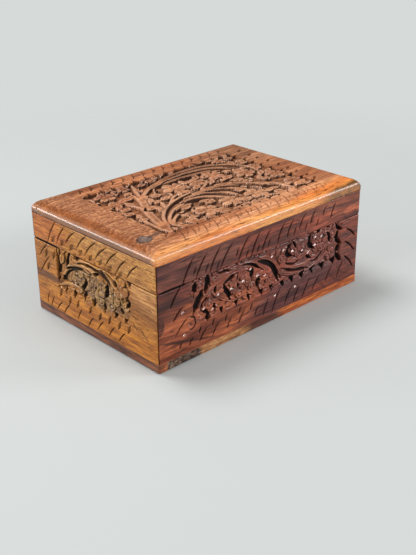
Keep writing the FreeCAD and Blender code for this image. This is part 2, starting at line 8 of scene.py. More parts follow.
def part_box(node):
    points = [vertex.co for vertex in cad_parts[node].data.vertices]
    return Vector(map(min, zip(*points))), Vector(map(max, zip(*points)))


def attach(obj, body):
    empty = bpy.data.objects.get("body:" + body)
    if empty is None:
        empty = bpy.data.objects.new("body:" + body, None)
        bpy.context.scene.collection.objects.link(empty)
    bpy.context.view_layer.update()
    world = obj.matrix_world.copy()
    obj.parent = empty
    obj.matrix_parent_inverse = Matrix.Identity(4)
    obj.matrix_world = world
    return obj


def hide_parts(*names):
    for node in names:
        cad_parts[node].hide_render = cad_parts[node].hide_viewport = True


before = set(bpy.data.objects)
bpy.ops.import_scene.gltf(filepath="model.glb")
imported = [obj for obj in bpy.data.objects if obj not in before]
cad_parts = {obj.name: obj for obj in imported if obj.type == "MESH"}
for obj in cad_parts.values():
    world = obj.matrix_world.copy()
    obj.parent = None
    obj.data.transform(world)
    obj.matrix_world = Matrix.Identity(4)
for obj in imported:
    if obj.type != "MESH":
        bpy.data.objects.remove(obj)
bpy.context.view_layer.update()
print("frame loaded:", len(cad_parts), "nodes")

# The carving is set out in millimetres on each flat face as it is looked at:
# u runs to the right and v down from faceTop, so z is faceTop minus v on the sides.
mm = 0.001
faceTop = 63.8
board = {
    "wall": 10.0, "ease": 1.0, "seamEase": 0.4, "topRound": 6.0, "seam": 42.9,
    "step": {"base": 0.26, "lid": 0.34},  # the grid of the upright boards
}
mitreTip = board["ease"] * (1 - math.sqrt(0.5))
uncarved = 9.0  # depth of the form where no leaf or petal stands


def paint(red, green, blue):  # a colour as a screen shows it, made linear
    return tuple(((c / 255 + 0.055) / 1.055) ** 2.4 for c in (red, green, blue)) + (1.0,)


def ease(x):
    x = np.clip(x, 0, 1)
    return x * x * (3 - 2 * x)


# How far a rounded edge has fallen away at each distance from the edge.
def rounded(fromEdge, radius):
    return radius - np.sqrt(np.clip(radius ** 2 - np.clip(radius - fromEdge, 0, None) ** 2, 0, None))


# A smooth line through a few listed points, given as pairs or as u and v in turn.
def smoothLine(points, steps=7):
    pts = np.array(points, float).reshape(-1, 2)
    if len(pts) == 2:
        return np.linspace(pts[0], pts[1], 3)
    ends = np.vstack([2 * pts[0] - pts[1], pts, 2 * pts[-1] - pts[-2]])
    line = []
    for a, b, c, d in zip(ends, ends[1:], ends[2:], ends[3:]):
        for t in np.linspace(0, 1, steps, endpoint=False):
            line.append(0.5 * (2 * b + (c - a) * t + (2 * a - 5 * b + 4 * c - d) * t ** 2
                               + (3 * b - 3 * c + d - a) * t ** 3))
    line.append(pts[-1])
    return np.array(line)


# A stroke between two points that bows to one side by a few tenths and can run on past its ends.
def bowed(start, end, bow, more=0.0):
    a, b = np.array(start, float), np.array(end, float)
    a, b = a - (b - a) * more, b + (b - a) * more
    run = b - a
    side = np.array((run[1], -run[0])) / np.hypot(*run)
    return [a, (a + b) / 2 + side * bow, b]


class CarvedFace:
    # pit is the depth of the cuts, form the depth of the highest leaf or petal, then the painted shade and
    # dirt that darken the cuts and hollows, and bare marks the fresh thumb cuts
    def __init__(self, plan, cell):
        self.plan = plan
        self.cell = cell
        self.pit = np.zeros(len(plan))
        self.form = np.full(len(plan), uncarved)
        self.stain = np.zeros(len(plan))
        self.bare = np.zeros(len(plan))

    def near(self, line, reach):
        low, high = line.min(0) - reach, line.max(0) + reach
        return np.flatnonzero(((self.plan > low) & (self.plan < high)).all(1))

    # the points near a line, how far they are from it, and their share of the way along it
    def along(self, line, reach):
        near = self.near(line, reach)
        spots = self.plan[near]
        best = np.full(len(near), 1e9)
        share = np.zeros(len(near))
        run = np.r_[0, np.cumsum(np.linalg.norm(np.diff(line, axis=0), axis=1))]
        for k in range(len(line) - 1):
            step = line[k + 1] - line[k]
            t = np.clip(((spots - line[k]) @ step) / max(step @ step, 1e-9), 0, 1)
            off = spots - line[k] - t[:, None] * step
            far = np.hypot(off[:, 0], off[:, 1])
            closer = far < best
            best[closer] = far[closer]
            share[closer] = ((run[k] + t * (run[k + 1] - run[k])) / run[-1])[closer]
        return near, best, share

    # a round-bottomed cut that narrows over the taper at both ends, darkened with painted shade and dirt
    def gouge(self, points, width, depth, taper=0.35, stain=1.0):
        near, far, share = self.along(smoothLine(points), width)
        half = width / 2 * (0.35 + 0.65 * ease(np.minimum(share, 1 - share) / taper))
        cut = np.clip(1.25 - (far / half) ** 2, 0, 1) ** 0.6
        self.pit[near] = np.maximum(self.pit[near], depth * cut)
        self.stain[near] = np.maximum(self.stain[near], stain * cut)

    # a row of cuts that bow to one side and can run on past their ends
    def strokes(self, lines, bow, more=0.0, **cut):
        for a, b, c, d in lines:
            self.gouge(bowed((a, b), (c, d), bow, more), **cut)

    # a short cut at each place; lean has the way from the place to each of its points
    def dimples(self, places, lean, **cut):
        for place in places:
            self.gouge(np.reshape(lean, (-1, 2)) + place, **cut)

    # a cut with straight sides between its corners
    def chip(self, corners, depth, slope=0.6):
        corners = np.array(corners, float)
        near = self.near(corners, 0.2)
        inside = np.full(len(near), 1e9)
        turn = np.sign(np.cross(corners[1] - corners[0], corners[2] - corners[0]))
        for a, b in zip(corners, np.roll(corners, -1, axis=0)):
            run = (b - a) / np.hypot(*(b - a))
            off = self.plan[near] - a
            inside = np.minimum(inside, turn * (run[0] * off[:, 1] - run[1] * off[:, 0]))
        cut = ease(inside / slope)
        self.pit[near] = np.maximum(self.pit[near], depth * cut)
        # painted shade, dark to the very rim of the chip
        self.stain[near] = np.maximum(self.stain[near], ease(inside / 0.25))  # dark to its very rim

    # a chip of one shape at each place along a row
    def chips(self, places, shape, **cut):
        for u in places:
            self.chip([(u + a, b) for a, b in shape], **cut)

    # the points near a place, and where they lie from it along and across a turned line
    def around(self, centre, reach, turn=0.0):
        near = self.near(np.array([centre], float), reach)
        off = self.plan[near] - np.array(centre)
        c, s = math.cos(turn), math.sin(turn)
        return near, off[:, 0] * c + off[:, 1] * s, off[:, 1] * c - off[:, 0] * s

    # a form stands where it is higher than what stands there already
    def stand(self, near, level, inside):
        self.form[near] = np.minimum(self.form[near], np.where(inside, level, uncarved))

    # a flat-topped leaf with pointed ends, steep sides and a vein
    def leaf(self, centre, size, turn, level=0.1):
        near, x, y = self.around(centre, max(size), turn)
        r = abs(y) / np.maximum(size[1] * (1 - (x / size[0]) ** 2), 1e-6)
        top = level + 0.25 * r ** 4 + 0.3 * np.exp(-(y / 0.3) ** 2) * (x < size[0] * 0.6)
        self.stand(near, top, (r < 1) & (abs(x) < size[0]))

    # a small flat thumb cut in fresh wood, deeper at its upper end, that shines
    def facet(self, centre, size, turn, slope):
        near, x, y = self.around(centre, max(size), turn)
        spot = near[(abs(x) < size[0]) & (abs(y) < size[1])]
        flat = self.plan[spot] @ np.array((slope[0], -slope[1]))
        self.form[spot] = flat - flat.min() + 0.05
        self.pit[spot] = self.form[spot]
        self.bare[spot] = 1.0

    # lobed petals round a small ringed boss, each petal creased down its middle
    def flower(self, centre, radius, turn, petals=5):
        near, x, y = self.around(centre, radius, turn)
        far = np.hypot(x, y) / radius
        across = abs(np.arctan2(y, x) * petals / math.tau % 1.0 - 0.5) * 2  # from a petal's middle line
        edge = 0.56 + 0.44 * np.clip(1 - across ** 3, 0, 1)
        level = 0.08 + 0.3 * (far / edge) ** 5 + 0.55 * ease((across - 0.8) / 0.2) * ease(far * 3)
        level += 0.2 * np.exp(-(across / 0.14) ** 2) * ease((far - 0.3) * 5)  # the creases
        level += 0.4 * np.exp(-((far - 0.27) / 0.07) ** 2)  # the ring
        level = np.where(far < 0.2, 0.05 + 0.3 * (far / 0.2) ** 4, level)  # the boss
        self.stand(near, level, far < edge)

    # a bud in its hollow, ringed by a thin groove
    def bud(self, centre, radius):
        near, x, y = self.around(centre, radius)
        far = np.hypot(x, y / 0.85) / radius
        self.stand(near, 0.06 + 0.4 * far ** 4 + 0.5 * np.exp(-((far - 0.52) / 0.14) ** 2), far < 1)

    # a rib with steep sides; groove is the depth of the line down its middle
    def rib(self, points, width, crest=0.05, groove=0.0):
        near, far, share = self.along(smoothLine(points), width)
        half = width / 2 * (0.5 + 0.5 * ease(share * 9)) * (0.35 + 0.65 * ease((1 - share) * 6))
        r = far / half
        self.stand(near, crest + 0.5 * r ** 3 + groove * np.exp(-(r / 0.24) ** 2), r < 1)

    # leaves wherever less than the skipped share has been carved yet, pointing away from the root;
    # the dice have a fixed seed
    def fillGaps(self, area, pitch, seed, root, skip=0.3):
        dice = np.random.default_rng(seed)
        for v in np.arange(area[1], area[3], pitch):
            for u in np.arange(area[0], area[2], pitch):
                du, dv, turn, long = dice.uniform(-1, 1, 4)
                spot = (u + du * pitch * 0.2, v + dv * pitch * 0.2)
                near = self.near(np.array([spot], float), pitch * 0.35)
                taken = (self.form[near] < uncarved).mean() if len(near) else 1.0
                if taken < skip and self.pit[near].mean() < 0.9:
                    away = math.atan2(spot[1] - root[1], spot[0] - root[0]) + turn * 0.8
                    size = pitch * (0.68 + 0.1 * long)
                    self.leaf(spot, (size, size * 0.5), away, level=0.2 + 0.15 * long)

    # one value for each point, laid out on the grid
    def laid(self, values):
        row, column = self.cell
        grid = np.zeros((row.max() + 1, column.max() + 1))
        grid[row, column] = values
        return grid

    # how much deeper each point is than the wood round it
    def hollow(self, deep, reach):
        mean = self.laid(deep)
        size = 2 * reach + 1
        for axis in (0, 1):
            wide = np.pad(mean, [(reach, reach) if k == axis else (0, 0) for k in (0, 1)], mode="edge")
            total = np.cumsum(np.insert(wide, 0, 0, axis=axis), axis=axis)
            count = total.shape[axis]
            ahead, behind = (np.take(total, run, axis) for run in (range(size, count), range(count - size)))
            mean = (ahead - behind) / size
        return deep - mean[self.cell]

    # how steeply each point falls away towards one side of the face
    def falls(self, deep, toward):
        depths, u, v = (self.laid(values) for values in (deep, *self.plan.T))
        acrossFall = np.gradient(depths, axis=1) / np.gradient(u, axis=1)
        downFall = np.gradient(depths, axis=0) / np.gradient(v, axis=0)
        return (acrossFall * toward[0] + downFall * toward[1])[self.cell]

    # the finished depth in millimetres, with the field sunk to ground between its leaves;
    # painted shade and dirt darken the hollows, painted shade the walls that fall away towards one side,
    # the sunk floor is darker, and wear with painted highlight lightens the crests
    def depth(self, inField, ground, toward=(0, 1), hollowStain=0.5, wallStain=0.9, floorStain=0.2):
        field = inField * np.minimum(self.form, ground)
        deep = np.maximum(field, self.pit)
        lower = self.hollow(deep, reach=4)
        # painted shade and dirt in the cuts and hollows, a darker sunk floor, and painted shade on the walls
        # that fall towards one side
        stain = self.stain + ease(lower / 0.8) * hollowStain + ease((field - 0.6) / 0.8) * floorStain
        stain = stain + ease(self.falls(deep, toward) / 1.2) * wallStain * inField
        # wear with painted highlight on the crests; the fresh thumb cuts count in full
        wearAndHighlight = np.maximum(ease(-lower / 0.5) * ease((inField - 0.75) * 4), self.bare)
        return deep, np.clip(stain, 0, 1) * (1 - self.bare), wearAndHighlight

    # the same for a face with a sunk field
    def sunk(self, data):
        inField = inRectangle(self.plan, data["field"], data["fieldSoft"], data["fieldWave"])
        return self.depth(inField, data["ground"], **data["shade"])

    # the same once the gaps are filled and the thumb cuts made
    def withLeaves(self, data):
        self.fillGaps(**data["leaves"])
        for spot in data["facets"]:
            self.facet(spot, **data["how"]["facets"])
        return self.sunk(data)

    # and for one whose only carving is its cuts
    def onlyCut(self):
        return self.depth(np.zeros(len(self.plan)), 0.0)


# 1 inside a sunk field and 0 outside; its edge is soft and wanders by the wave
def inRectangle(plan, area, soft, wave):
    left, top, right, bottom = area
    u, v = plan.T
    inside = np.minimum.reduce([u - left, right - u, v - top, bottom - v])
    inside = inside + wave * np.sin(0.85 * u + 0.5 * v) * np.cos(0.7 * v - 0.3 * u)
    return ease(inside / soft + 0.5)


# The places of the grid lines over a face: each stretch runs to a place at its own step,
# with closer lines in the eased ends.
def gridLines(low, high, stretches, lowEase, highEase):
    lines = [low + e for e in lowEase] or [low]
    last = high - highEase[-1] if highEase else high
    for place, step in stretches + [(last, stretches[-1][1])]:
        count = max(int(round((place - lines[-1]) / step)), 1)
        lines += list(np.linspace(lines[-1], place, count + 1)[1:]) if place > lines[-1] + 1e-6 else []
    return np.array(lines + [high - e for e in reversed(highEase[:-1])])


# A bmesh grid whose lines lie at the given places; returns it with the flat place of each point.
def lineGrid(across, down):
    bm = bmesh.new()
    bmesh.ops.create_grid(bm, x_segments=len(across) - 1, y_segments=len(down) - 1, size=1.0)
    flat = np.array([v.co[:2] for v in bm.verts])
    column = np.rint((flat[:, 0] + 1) / 2 * (len(across) - 1)).astype(int)
    row = np.rint((flat[:, 1] + 1) / 2 * (len(down) - 1)).astype(int)
    return bm, np.column_stack([across[column], down[row]]), (row, column)


# Closes a carved face into a board: its rim runs back to the inner face, which is then filled.
# A value below zero in the wear and highlight layer leaves those unseen sides without varnish.
def closeBoard(bm, places, stain, wearAndHighlight, backOf):
    # the layers hold painted shade with dirt, and wear with painted highlight
    shadeAndDirtLayer = bm.verts.layers.float.new("stain")
    wearAndHighlightLayer = bm.verts.layers.float.new("wearAndHighlight")
    for vert, place, dark, light in zip(bm.verts, places, stain, wearAndHighlight):
        vert.co = place
        vert[shadeAndDirtLayer] = dark
        vert[wearAndHighlightLayer] = light
    for face in bm.faces:
        face.smooth = True
    rim = [edge for edge in bm.edges if edge.is_boundary]
    made = bmesh.ops.extrude_edge_only(bm, edges=rim)["geom"]
    for vert in (item for item in made if isinstance(item, bmesh.types.BMVert)):
        vert.co = backOf(vert.co)
        vert[shadeAndDirtLayer] = 0.0
        vert[wearAndHighlightLayer] = -1.0
    backRim = [edge for edge in bm.edges if edge.is_boundary]
    made += bmesh.ops.contextual_create(bm, geom=backRim)["faces"]
    for face in (item for item in made if isinstance(item, bmesh.types.BMFace)):
        face.smooth = False
    bmesh.ops.recalc_face_normals(bm, faces=bm.faces[:])


def addPiece(bm, name, body, material, nodes):
    mesh = bpy.data.meshes.new(name)
    bm.to_mesh(mesh)
    bm.free()
    mesh.materials.append(material)
    piece = bpy.data.objects.new(name, mesh)
    bpy.context.scene.collection.objects.link(piece)
    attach(piece, body)
    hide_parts(*nodes)
    print("made", name, len(mesh.polygons), "faces")


# An upright board made as if it were the front one, then turned to its side of the box.
def carvedSide(name, cadBoard, turn, carve, material, body):
    seamAtTop = body == "base"
    step = board["step"][body]
    low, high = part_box(cadBoard)
    halfRun = (high.x if turn == 0 else high.y) / mm
    halfAcross = abs(low.y if turn == 0 else low.x if turn < 0 else high.x) / mm
    foot, head = low.z / mm, high.z / mm
    corner = [mitreTip, 0.42, 0.6, 0.8, board["ease"]]
    across = gridLines(-halfRun, halfRun, [(0, step)], corner, corner)
    seam = [0.0, 0.2, board["seamEase"]]
    down = gridLines(foot, head, [(foot + 3, step)], () if seamAtTop else seam, seam if seamAtTop else ())
    bm, flat, cell = lineGrid(across, down)
    plan = np.column_stack([flat[:, 0] + halfRun, faceTop - flat[:, 1]])
    deep, stain, wearAndHighlight = carve(CarvedFace(plan, cell))
    fromEnd = np.minimum(plan[:, 0], 2 * halfRun - plan[:, 0])
    fromSeam = (head - flat[:, 1]) if seamAtTop else (flat[:, 1] - foot)
    deep = deep + rounded(fromEnd, board["ease"]) + np.clip(board["seamEase"] - fromSeam, 0, None)
    places = np.column_stack([flat[:, 0], deep - halfAcross, flat[:, 1]]) * mm
    shrink = (halfRun - board["wall"]) / (halfRun - mitreTip)

    def backOf(co):
        return Vector((co.x * shrink, (board["wall"] - halfAcross) * mm, co.z))

    closeBoard(bm, places, stain, wearAndHighlight, backOf)
    turned = Matrix.Rotation(math.radians(turn), 3, "Z")
    bmesh.ops.rotate(bm, cent=(0, 0, 0), matrix=turned, verts=bm.verts[:])
    addPiece(bm, name, body, material, [cadBoard])


def node(tree, kind, **settings):
    made = tree.nodes.new("ShaderNode" + kind)
    for key, value in settings.items():
        if hasattr(made, key) and key not in made.inputs:
            setattr(made, key, value)
        else:
            made.inputs[key].default_value = value
    return made


# Fills sockets with what comes from other nodes, or with plain values.
def feed(tree, sockets, values):
    for socket, value in zip(sockets, values):
        if isinstance(value, bpy.types.NodeSocket):
            tree.links.new(value, socket)
        else:
            socket.default_value = value


def mixColour(tree, share, first, second, blend="MIX"):
    made = node(tree, "Mix", data_type="RGBA", blend_type=blend)
    feed(tree, (made.inputs[0], made.inputs[6], made.inputs[7]), (share, first, second))
    return made.outputs[2]


def maths(tree, what, first, second=0.0, third=0.0):
    made = node(tree, "Math", operation=what)
    feed(tree, made.inputs, (first, second, third))
    return made.outputs[0]


def ranged(tree, value, low, high, toLow=0.0, toHigh=1.0):
    made = node(tree, "MapRange", interpolation_type="SMOOTHSTEP")
    feed(tree, made.inputs, (value, low, high, toLow, toHigh))
    return made.outputs[0]


# Noise in millimetres of pattern size, drawn out along the grain.
def grainNoise(tree, coords, size, stretch, along, detail, shift=0.0, distortion=0.0):
    scale = [1 / (mm * size)] * 3
    for axis in along:
        scale["XYZ".index(axis)] /= stretch
    moved = node(tree, "Mapping", Scale=scale, Location=(shift, shift * 0.7, shift * 1.3))
    tree.links.new(coords, moved.inputs[0])
    made = node(tree, "TexNoise", Scale=1.0, Detail=detail, Roughness=0.55, Distortion=distortion)
    tree.links.new(moved.outputs[0], made.inputs[0])
    return made.outputs[0]


# Empties the node tree of a material or a world.
def emptyTree(owner):
    owner.use_nodes = True
    owner.node_tree.nodes.clear()
    return owner.node_tree


def toOutput(tree, shader, kind="OutputMaterial"):
    tree.links.new(shader.outputs[0], node(tree, kind).inputs[0])


def addBump(tree, shader, height, strength, depth):
    bump = node(tree, "Bump", Strength=strength, Distance=depth * mm)
    tree.links.new(height, bump.inputs["Height"])
    tree.links.new(bump.outputs[0], shader.inputs["Normal"])


# A patch of other wood in a board: its middle and reach in millimetres, and the two colours mottled in it.
# A ragged edge follows the wobble of the grain, grit is the size of a finer mottle, plain hides the bands.
def patch(at, reach, colour, other=None, turn=(0, 0, 0), share=0.9, ragged=0.6, soft=0.12, grit=0,
          plain=False):
    return {"at": at, "reach": reach, "colours": (paint(*colour), paint(*(other or colour))), "turn": turn,
            "share": share, "ragged": ragged, "soft": soft, "grit": grit, "plain": plain}


# what a wood has where its own finish doesn't say otherwise
usualWood = {
    "band": 1.7, "bandShare": 0.75, "bandTone": paint(178, 160, 150), "fibreTone": paint(176, 156, 146),
    "wearAndHighlightShare": 0.35, "specular": 0.2,
}
# roughness of smooth and dull varnish, and what the places of painted shade and dirt and bare wood add to it
varnish = {"smooth": 0.34, "dull": 0.5, "shadedAndDirty": 0.25, "sawn": 0.5, "crestCoat": 0.5, "coatRoughness": 0.15}


# Varnished heartwood: streaks, ring lines and the patches that this board has, then bands, fibres and pores.
def woodMaterial(name, look):
    look = {**usualWood, **look}
    shift = look["shift"]
    mat = bpy.data.materials.new(name)
    tree = emptyTree(mat)
    coords = node(tree, "TexCoord").outputs["Object"]

    # place is where in the noise this board lies
    def grain(size, stretch, detail, place, distortion=0.0):
        return grainNoise(tree, coords, size, stretch, look["along"], detail, place, distortion)

    def toned(colour, share, tone):
        return mixColour(tree, share, colour, mixColour(tree, 1.0, colour, tone, "MULTIPLY"))

    streaks = grain(look["streak"], 7.0, 3.0, shift, 0.4)
    colour = mixColour(tree, ranged(tree, streaks, 0.36, 0.64), look["dark"], look["light"])
    broad = grain(34.0, 2.5, 2.0, shift + 3)
    colour = mixColour(tree, ranged(tree, broad, 0.4, 0.68, 0, 0.7), colour, look["third"])
    rings = maths(tree, "MULTIPLY", grain(26.0, 4.0, 1.0, shift + 7, 0.3), look["rings"])
    ringLine = ranged(tree, maths(tree, "PINGPONG", rings, 0.5), 0.0, 0.13, look["ringDark"], 0.0)
    colour = mixColour(tree, ringLine, colour, look["vein"])
    wobble = grain(7.0, 2.5, 3.0, shift + 11)
    plain = 0.0
    for spot in look["patches"]:
        place = node(tree, "Mapping", vector_type="TEXTURE", Location=[c * mm for c in spot["at"]],
                     Scale=[c * mm for c in spot["reach"]], Rotation=[math.radians(c) for c in spot["turn"]])
        tree.links.new(coords, place.inputs[0])
        far = node(tree, "VectorMath", operation="LENGTH")
        tree.links.new(place.outputs[0], far.inputs[0])
        edge = maths(tree, "MULTIPLY_ADD", wobble, spot["ragged"], far.outputs["Value"])
        middle = 1 + spot["ragged"] * 0.5
        share = ranged(tree, edge, middle - spot["soft"], middle + spot["soft"], spot["share"], 0.0)
        if spot["plain"]:
            plain = maths(tree, "MAXIMUM", plain, share)
        mottle = grain(spot["grit"], 1.3, 3.0, 41.0) if spot["grit"] else streaks
        inside = mixColour(tree, ranged(tree, mottle, 0.38, 0.62), *spot["colours"])
        colour = mixColour(tree, share, colour, inside)
    # fine grain in two sizes: soft bands, then hair-thin fibres
    bands = ranged(tree, grain(look["band"], 14.0, 3.0, shift + 29, 0.3), 0.42, 0.66, 0.0, look["bandShare"])
    bands = maths(tree, "MULTIPLY", bands, maths(tree, "SUBTRACT", 1.0, plain))
    colour = toned(colour, bands, look["bandTone"])
    fibres = grain(0.55, 16.0, 2.0, shift + 17)
    colour = toned(colour, ranged(tree, fibres, 0.35, 0.65, 0.0, 0.75), look["fibreTone"])
    pores = ranged(tree, grain(0.7, 9.0, 1.0, shift + 23), 0.6, 0.7)
    colour = mixColour(tree, maths(tree, "MULTIPLY", pores, 0.75), colour, look["vein"])
    # the pale tone on the crests and edges is wear with painted highlight
    wearAndHighlight = node(tree, "Attribute", attribute_name="wearAndHighlight").outputs["Fac"]
    colour = mixColour(tree, maths(tree, "MULTIPLY", wearAndHighlight, look["wearAndHighlightShare"]), colour, look["wornAndLit"])
    # painted shade and dirt: the cuts and hollows darkened towards the dark tone
    stain = node(tree, "Attribute", attribute_name="stain").outputs["Fac"]
    colour = mixColour(tree, maths(tree, "MULTIPLY", stain, 0.98), colour, look["stain"])
    shader = node(tree, "BsdfPrincipled")
    tree.links.new(colour, shader.inputs["Base Color"])
    # the faces that meet at the seam and the inner sides, with a wear and highlight value below zero, are
    # bare sawn wood
    height = node(tree, "SeparateXYZ")
    tree.links.new(coords, height.inputs[0])
    offSeam = maths(tree, "ABSOLUTE", maths(tree, "SUBTRACT", height.outputs["Z"], board["seam"] * mm))
    sawn = ranged(tree, offSeam, 0.21 * mm, 0.3 * mm, 1.0, 0.0)
    sawn = maths(tree, "MAXIMUM", sawn, maths(tree, "MULTIPLY", wearAndHighlight, -1.0))
    roughness = ranged(tree, grain(5.0, 3.0, 3.0, 31.0), 0.3, 0.7, varnish["smooth"], varnish["dull"])
    roughness = maths(tree, "MULTIPLY_ADD", stain, varnish["shadedAndDirty"], roughness)
    roughness = maths(tree, "MULTIPLY_ADD", sawn, varnish["sawn"], roughness)
    tree.links.new(roughness, shader.inputs["Roughness"])
    # the varnish is thin on the flats, built up on the worked crests and missing in the cuts
    built = maths(tree, "MULTIPLY_ADD", wearAndHighlight, varnish["crestCoat"], look["coat"])
    built = maths(tree, "MAXIMUM", maths(tree, "SUBTRACT", built, sawn), 0.0)
    coat = maths(tree, "MULTIPLY", built, ranged(tree, stain, 0.1, 0.6, 1.0, 0.0))
    tree.links.new(coat, shader.inputs["Coat Weight"])
    shader.inputs["Coat Roughness"].default_value = varnish["coatRoughness"]
    shader.inputs["Specular IOR Level"].default_value = look["specular"]
    addBump(tree, shader, maths(tree, "MULTIPLY_ADD", pores, -0.6, fibres), 0.35, 0.12)
    toOutput(tree, shader)
    return mat


# Aged sheet brass, cloudier and rougher where it has dulled.
def brassMaterial(name, bright, dull, size):
    mat = bpy.data.materials.new(name)
    tree = emptyTree(mat)
    coords = node(tree, "TexCoord").outputs["Object"]
    cloud = grainNoise(tree, coords, size, 1.0, "X", 4.0)
    scratch = grainNoise(tree, coords, 0.25, 22.0, "X", 2.0, 5.0)
    shader = node(tree, "BsdfPrincipled", Metallic=1.0)
    colour = mixColour(tree, ranged(tree, cloud, 0.4, 0.65), bright, dull)
    tree.links.new(colour, shader.inputs["Base Color"])
    roughness = ranged(tree, cloud, 0.4, 0.65, 0.24, 0.42)
    roughness = maths(tree, "MULTIPLY_ADD", scratch, 0.12, roughness)
    tree.links.new(roughness, shader.inputs["Roughness"])
    addBump(tree, shader, scratch, 0.2, 0.05)
    toOutput(tree, shader)
    return mat


topWood = woodMaterial("sheeshamTop", {
    "along": "X", "shift": 1.0, "streak": 8.0, "rings": 12.0, "ringDark": 0.3, "coat": 0.05, "specular": 0.08,
    "band": 1.3, "bandShare": 0.6,
    "dark": paint(152, 90, 54), "light": paint(216, 144, 96), "third": paint(190, 116, 72),
    # the pale tone is wear with painted highlight on the crests, the dark one painted shade with dirt in the
    # cuts
    "vein": paint(88, 46, 26), "wornAndLit": paint(224, 172, 136), "stain": paint(46, 24, 16), "wearAndHighlightShare": 0.36,
    "patches": [
        # flame grain in the plain left margin, and the knot near the front with its tail
        patch((-70, 0, 62), (17, 60, 9), (156, 98, 62), (222, 158, 112), share=0.75, ragged=0.8, grit=1.4),
        patch((4, -12, 63), (46, 30, 9), (212, 152, 112), (234, 178, 136), share=0.65, ragged=0.8,
              soft=0.5),
        patch((-74.6, 2, 62.6), (3.6, 48, 4), (150, 84, 36), (172, 98, 44), share=0.8, ragged=0.7,
              soft=0.35),
        patch((-61, -33, 63), (6, 1.8, 6), (120, 84, 66), (150, 108, 84), turn=(0, 0, 14), share=0.85,
              soft=0.25),
        patch((-68, -34, 63), (4.6, 3.9, 6), (56, 46, 46), (84, 70, 64), turn=(0, 0, 20), share=0.92,
              ragged=0.4, grit=1.4),
        patch((-67.8, -34, 63), (3.6, 2.9, 6), (112, 98, 92), (168, 144, 130), turn=(0, 0, 20),
              share=0.95, soft=0.2, grit=0.9),
        # the darker end grain under the left edge
        patch((-76.5, 0, 57.7), (3.4, 60, 2.9), (66, 38, 26), (104, 66, 46), share=0.92, ragged=0.3),
        # bright sapwood along the front edge, wider towards the right
        patch((-22, -52.4, 61), (76, 5.4, 9), (244, 142, 66), (255, 176, 92), share=0.95, ragged=0.7,
              soft=0.3, plain=True),
        patch((46, -49.5, 61), (46, 8.6, 9), (240, 140, 66), (255, 172, 90), turn=(0, 0, 9), share=0.92,
              ragged=0.8, soft=0.35, plain=True),
        patch((0, -42.5, 63), (66, 5.5, 6), (238, 160, 108), (250, 180, 130), turn=(0, 0, 3), share=0.8,
              ragged=0.8, soft=0.5),
        # olive streaks at the right of the front
        patch((70, -51.5, 60), (30, 4.8, 4.6), (84, 58, 24), (158, 98, 38), turn=(0, -4, 0), share=0.97,
              soft=0.3, grit=3.0),
        # greyer back right
        patch((66, 36, 63), (30, 26, 9), (156, 112, 80), (190, 140, 104), share=0.6, ragged=0.8, soft=0.4),
    ],
})
frontWood = woodMaterial("sheeshamFront", {
    "along": "X", "shift": 5.0, "streak": 5.0, "rings": 16.0, "ringDark": 0.5, "coat": 0.35, "band": 2.2,
    "dark": paint(106, 48, 36), "light": paint(178, 88, 60), "third": paint(126, 60, 48),
    # the pale tone is wear with painted highlight on the crests, the dark one painted shade with dirt in the
    # cuts
    "vein": paint(46, 20, 18), "wornAndLit": paint(184, 104, 78), "stain": paint(10, 5, 5), "wearAndHighlightShare": 0.3,
    "patches": [
        # red-brown wedge at the top right of the rail, and the orange streak above the seam
        patch((60, -51, 56), (76, 14, 6.5), (132, 72, 54), (178, 104, 76), turn=(0, 6.5, 0), share=0.85,
              soft=0.25),
        patch((64, -51, 48.4), (20, 14, 1.7), (180, 90, 60), (206, 112, 74), turn=(0, 6, 0), share=0.8,
              ragged=0.5, soft=0.3),
        patch((4, -51, 57), (44, 14, 1.2), (72, 38, 38), turn=(0, 5, 0), share=0.5, soft=0.4),
        # purple-dark wood on the left of the rail
        patch((-52, -51, 52), (34, 14, 9), (90, 52, 48), (124, 78, 66), share=0.7, ragged=0.7, soft=0.3),
        # orange-red low left with dark veins through it
        patch((-56, -51, 10), (52, 14, 24), (142, 70, 42), (198, 110, 68), turn=(0, -10, 0), share=0.94,
              soft=0.2),
        patch((-71, -51, 33), (12, 14, 8), (84, 40, 28), (128, 62, 42), turn=(0, 8, 0), share=0.8,
              soft=0.3),
        patch((-62, -51, 34.5), (16, 14, 1.8), (80, 38, 30), turn=(0, 8, 0), share=0.8, ragged=0.7,
              soft=0.3),
        patch((-58, -51, 12), (20, 14, 0.9), (70, 30, 22), turn=(0, 14, 0), share=0.85, ragged=0.8,
              soft=0.4),
        patch((-34, -51, 10), (22, 14, 0.8), (84, 38, 28), turn=(0, 6, 0), share=0.5, ragged=0.8, soft=0.4),
        # small knot cut by the left edge
        patch((-76, -51, 25.5), (4.2, 14, 5.0), (60, 26, 20), (112, 54, 36), share=0.85, ragged=0.5,
              grit=2.0),
        # purple-brown low in the middle
        patch((20, -51, 14), (38, 14, 8), (92, 54, 56), (130, 80, 76), turn=(0, -10, 0), share=0.7,
              ragged=0.7, soft=0.3),
    ],
})
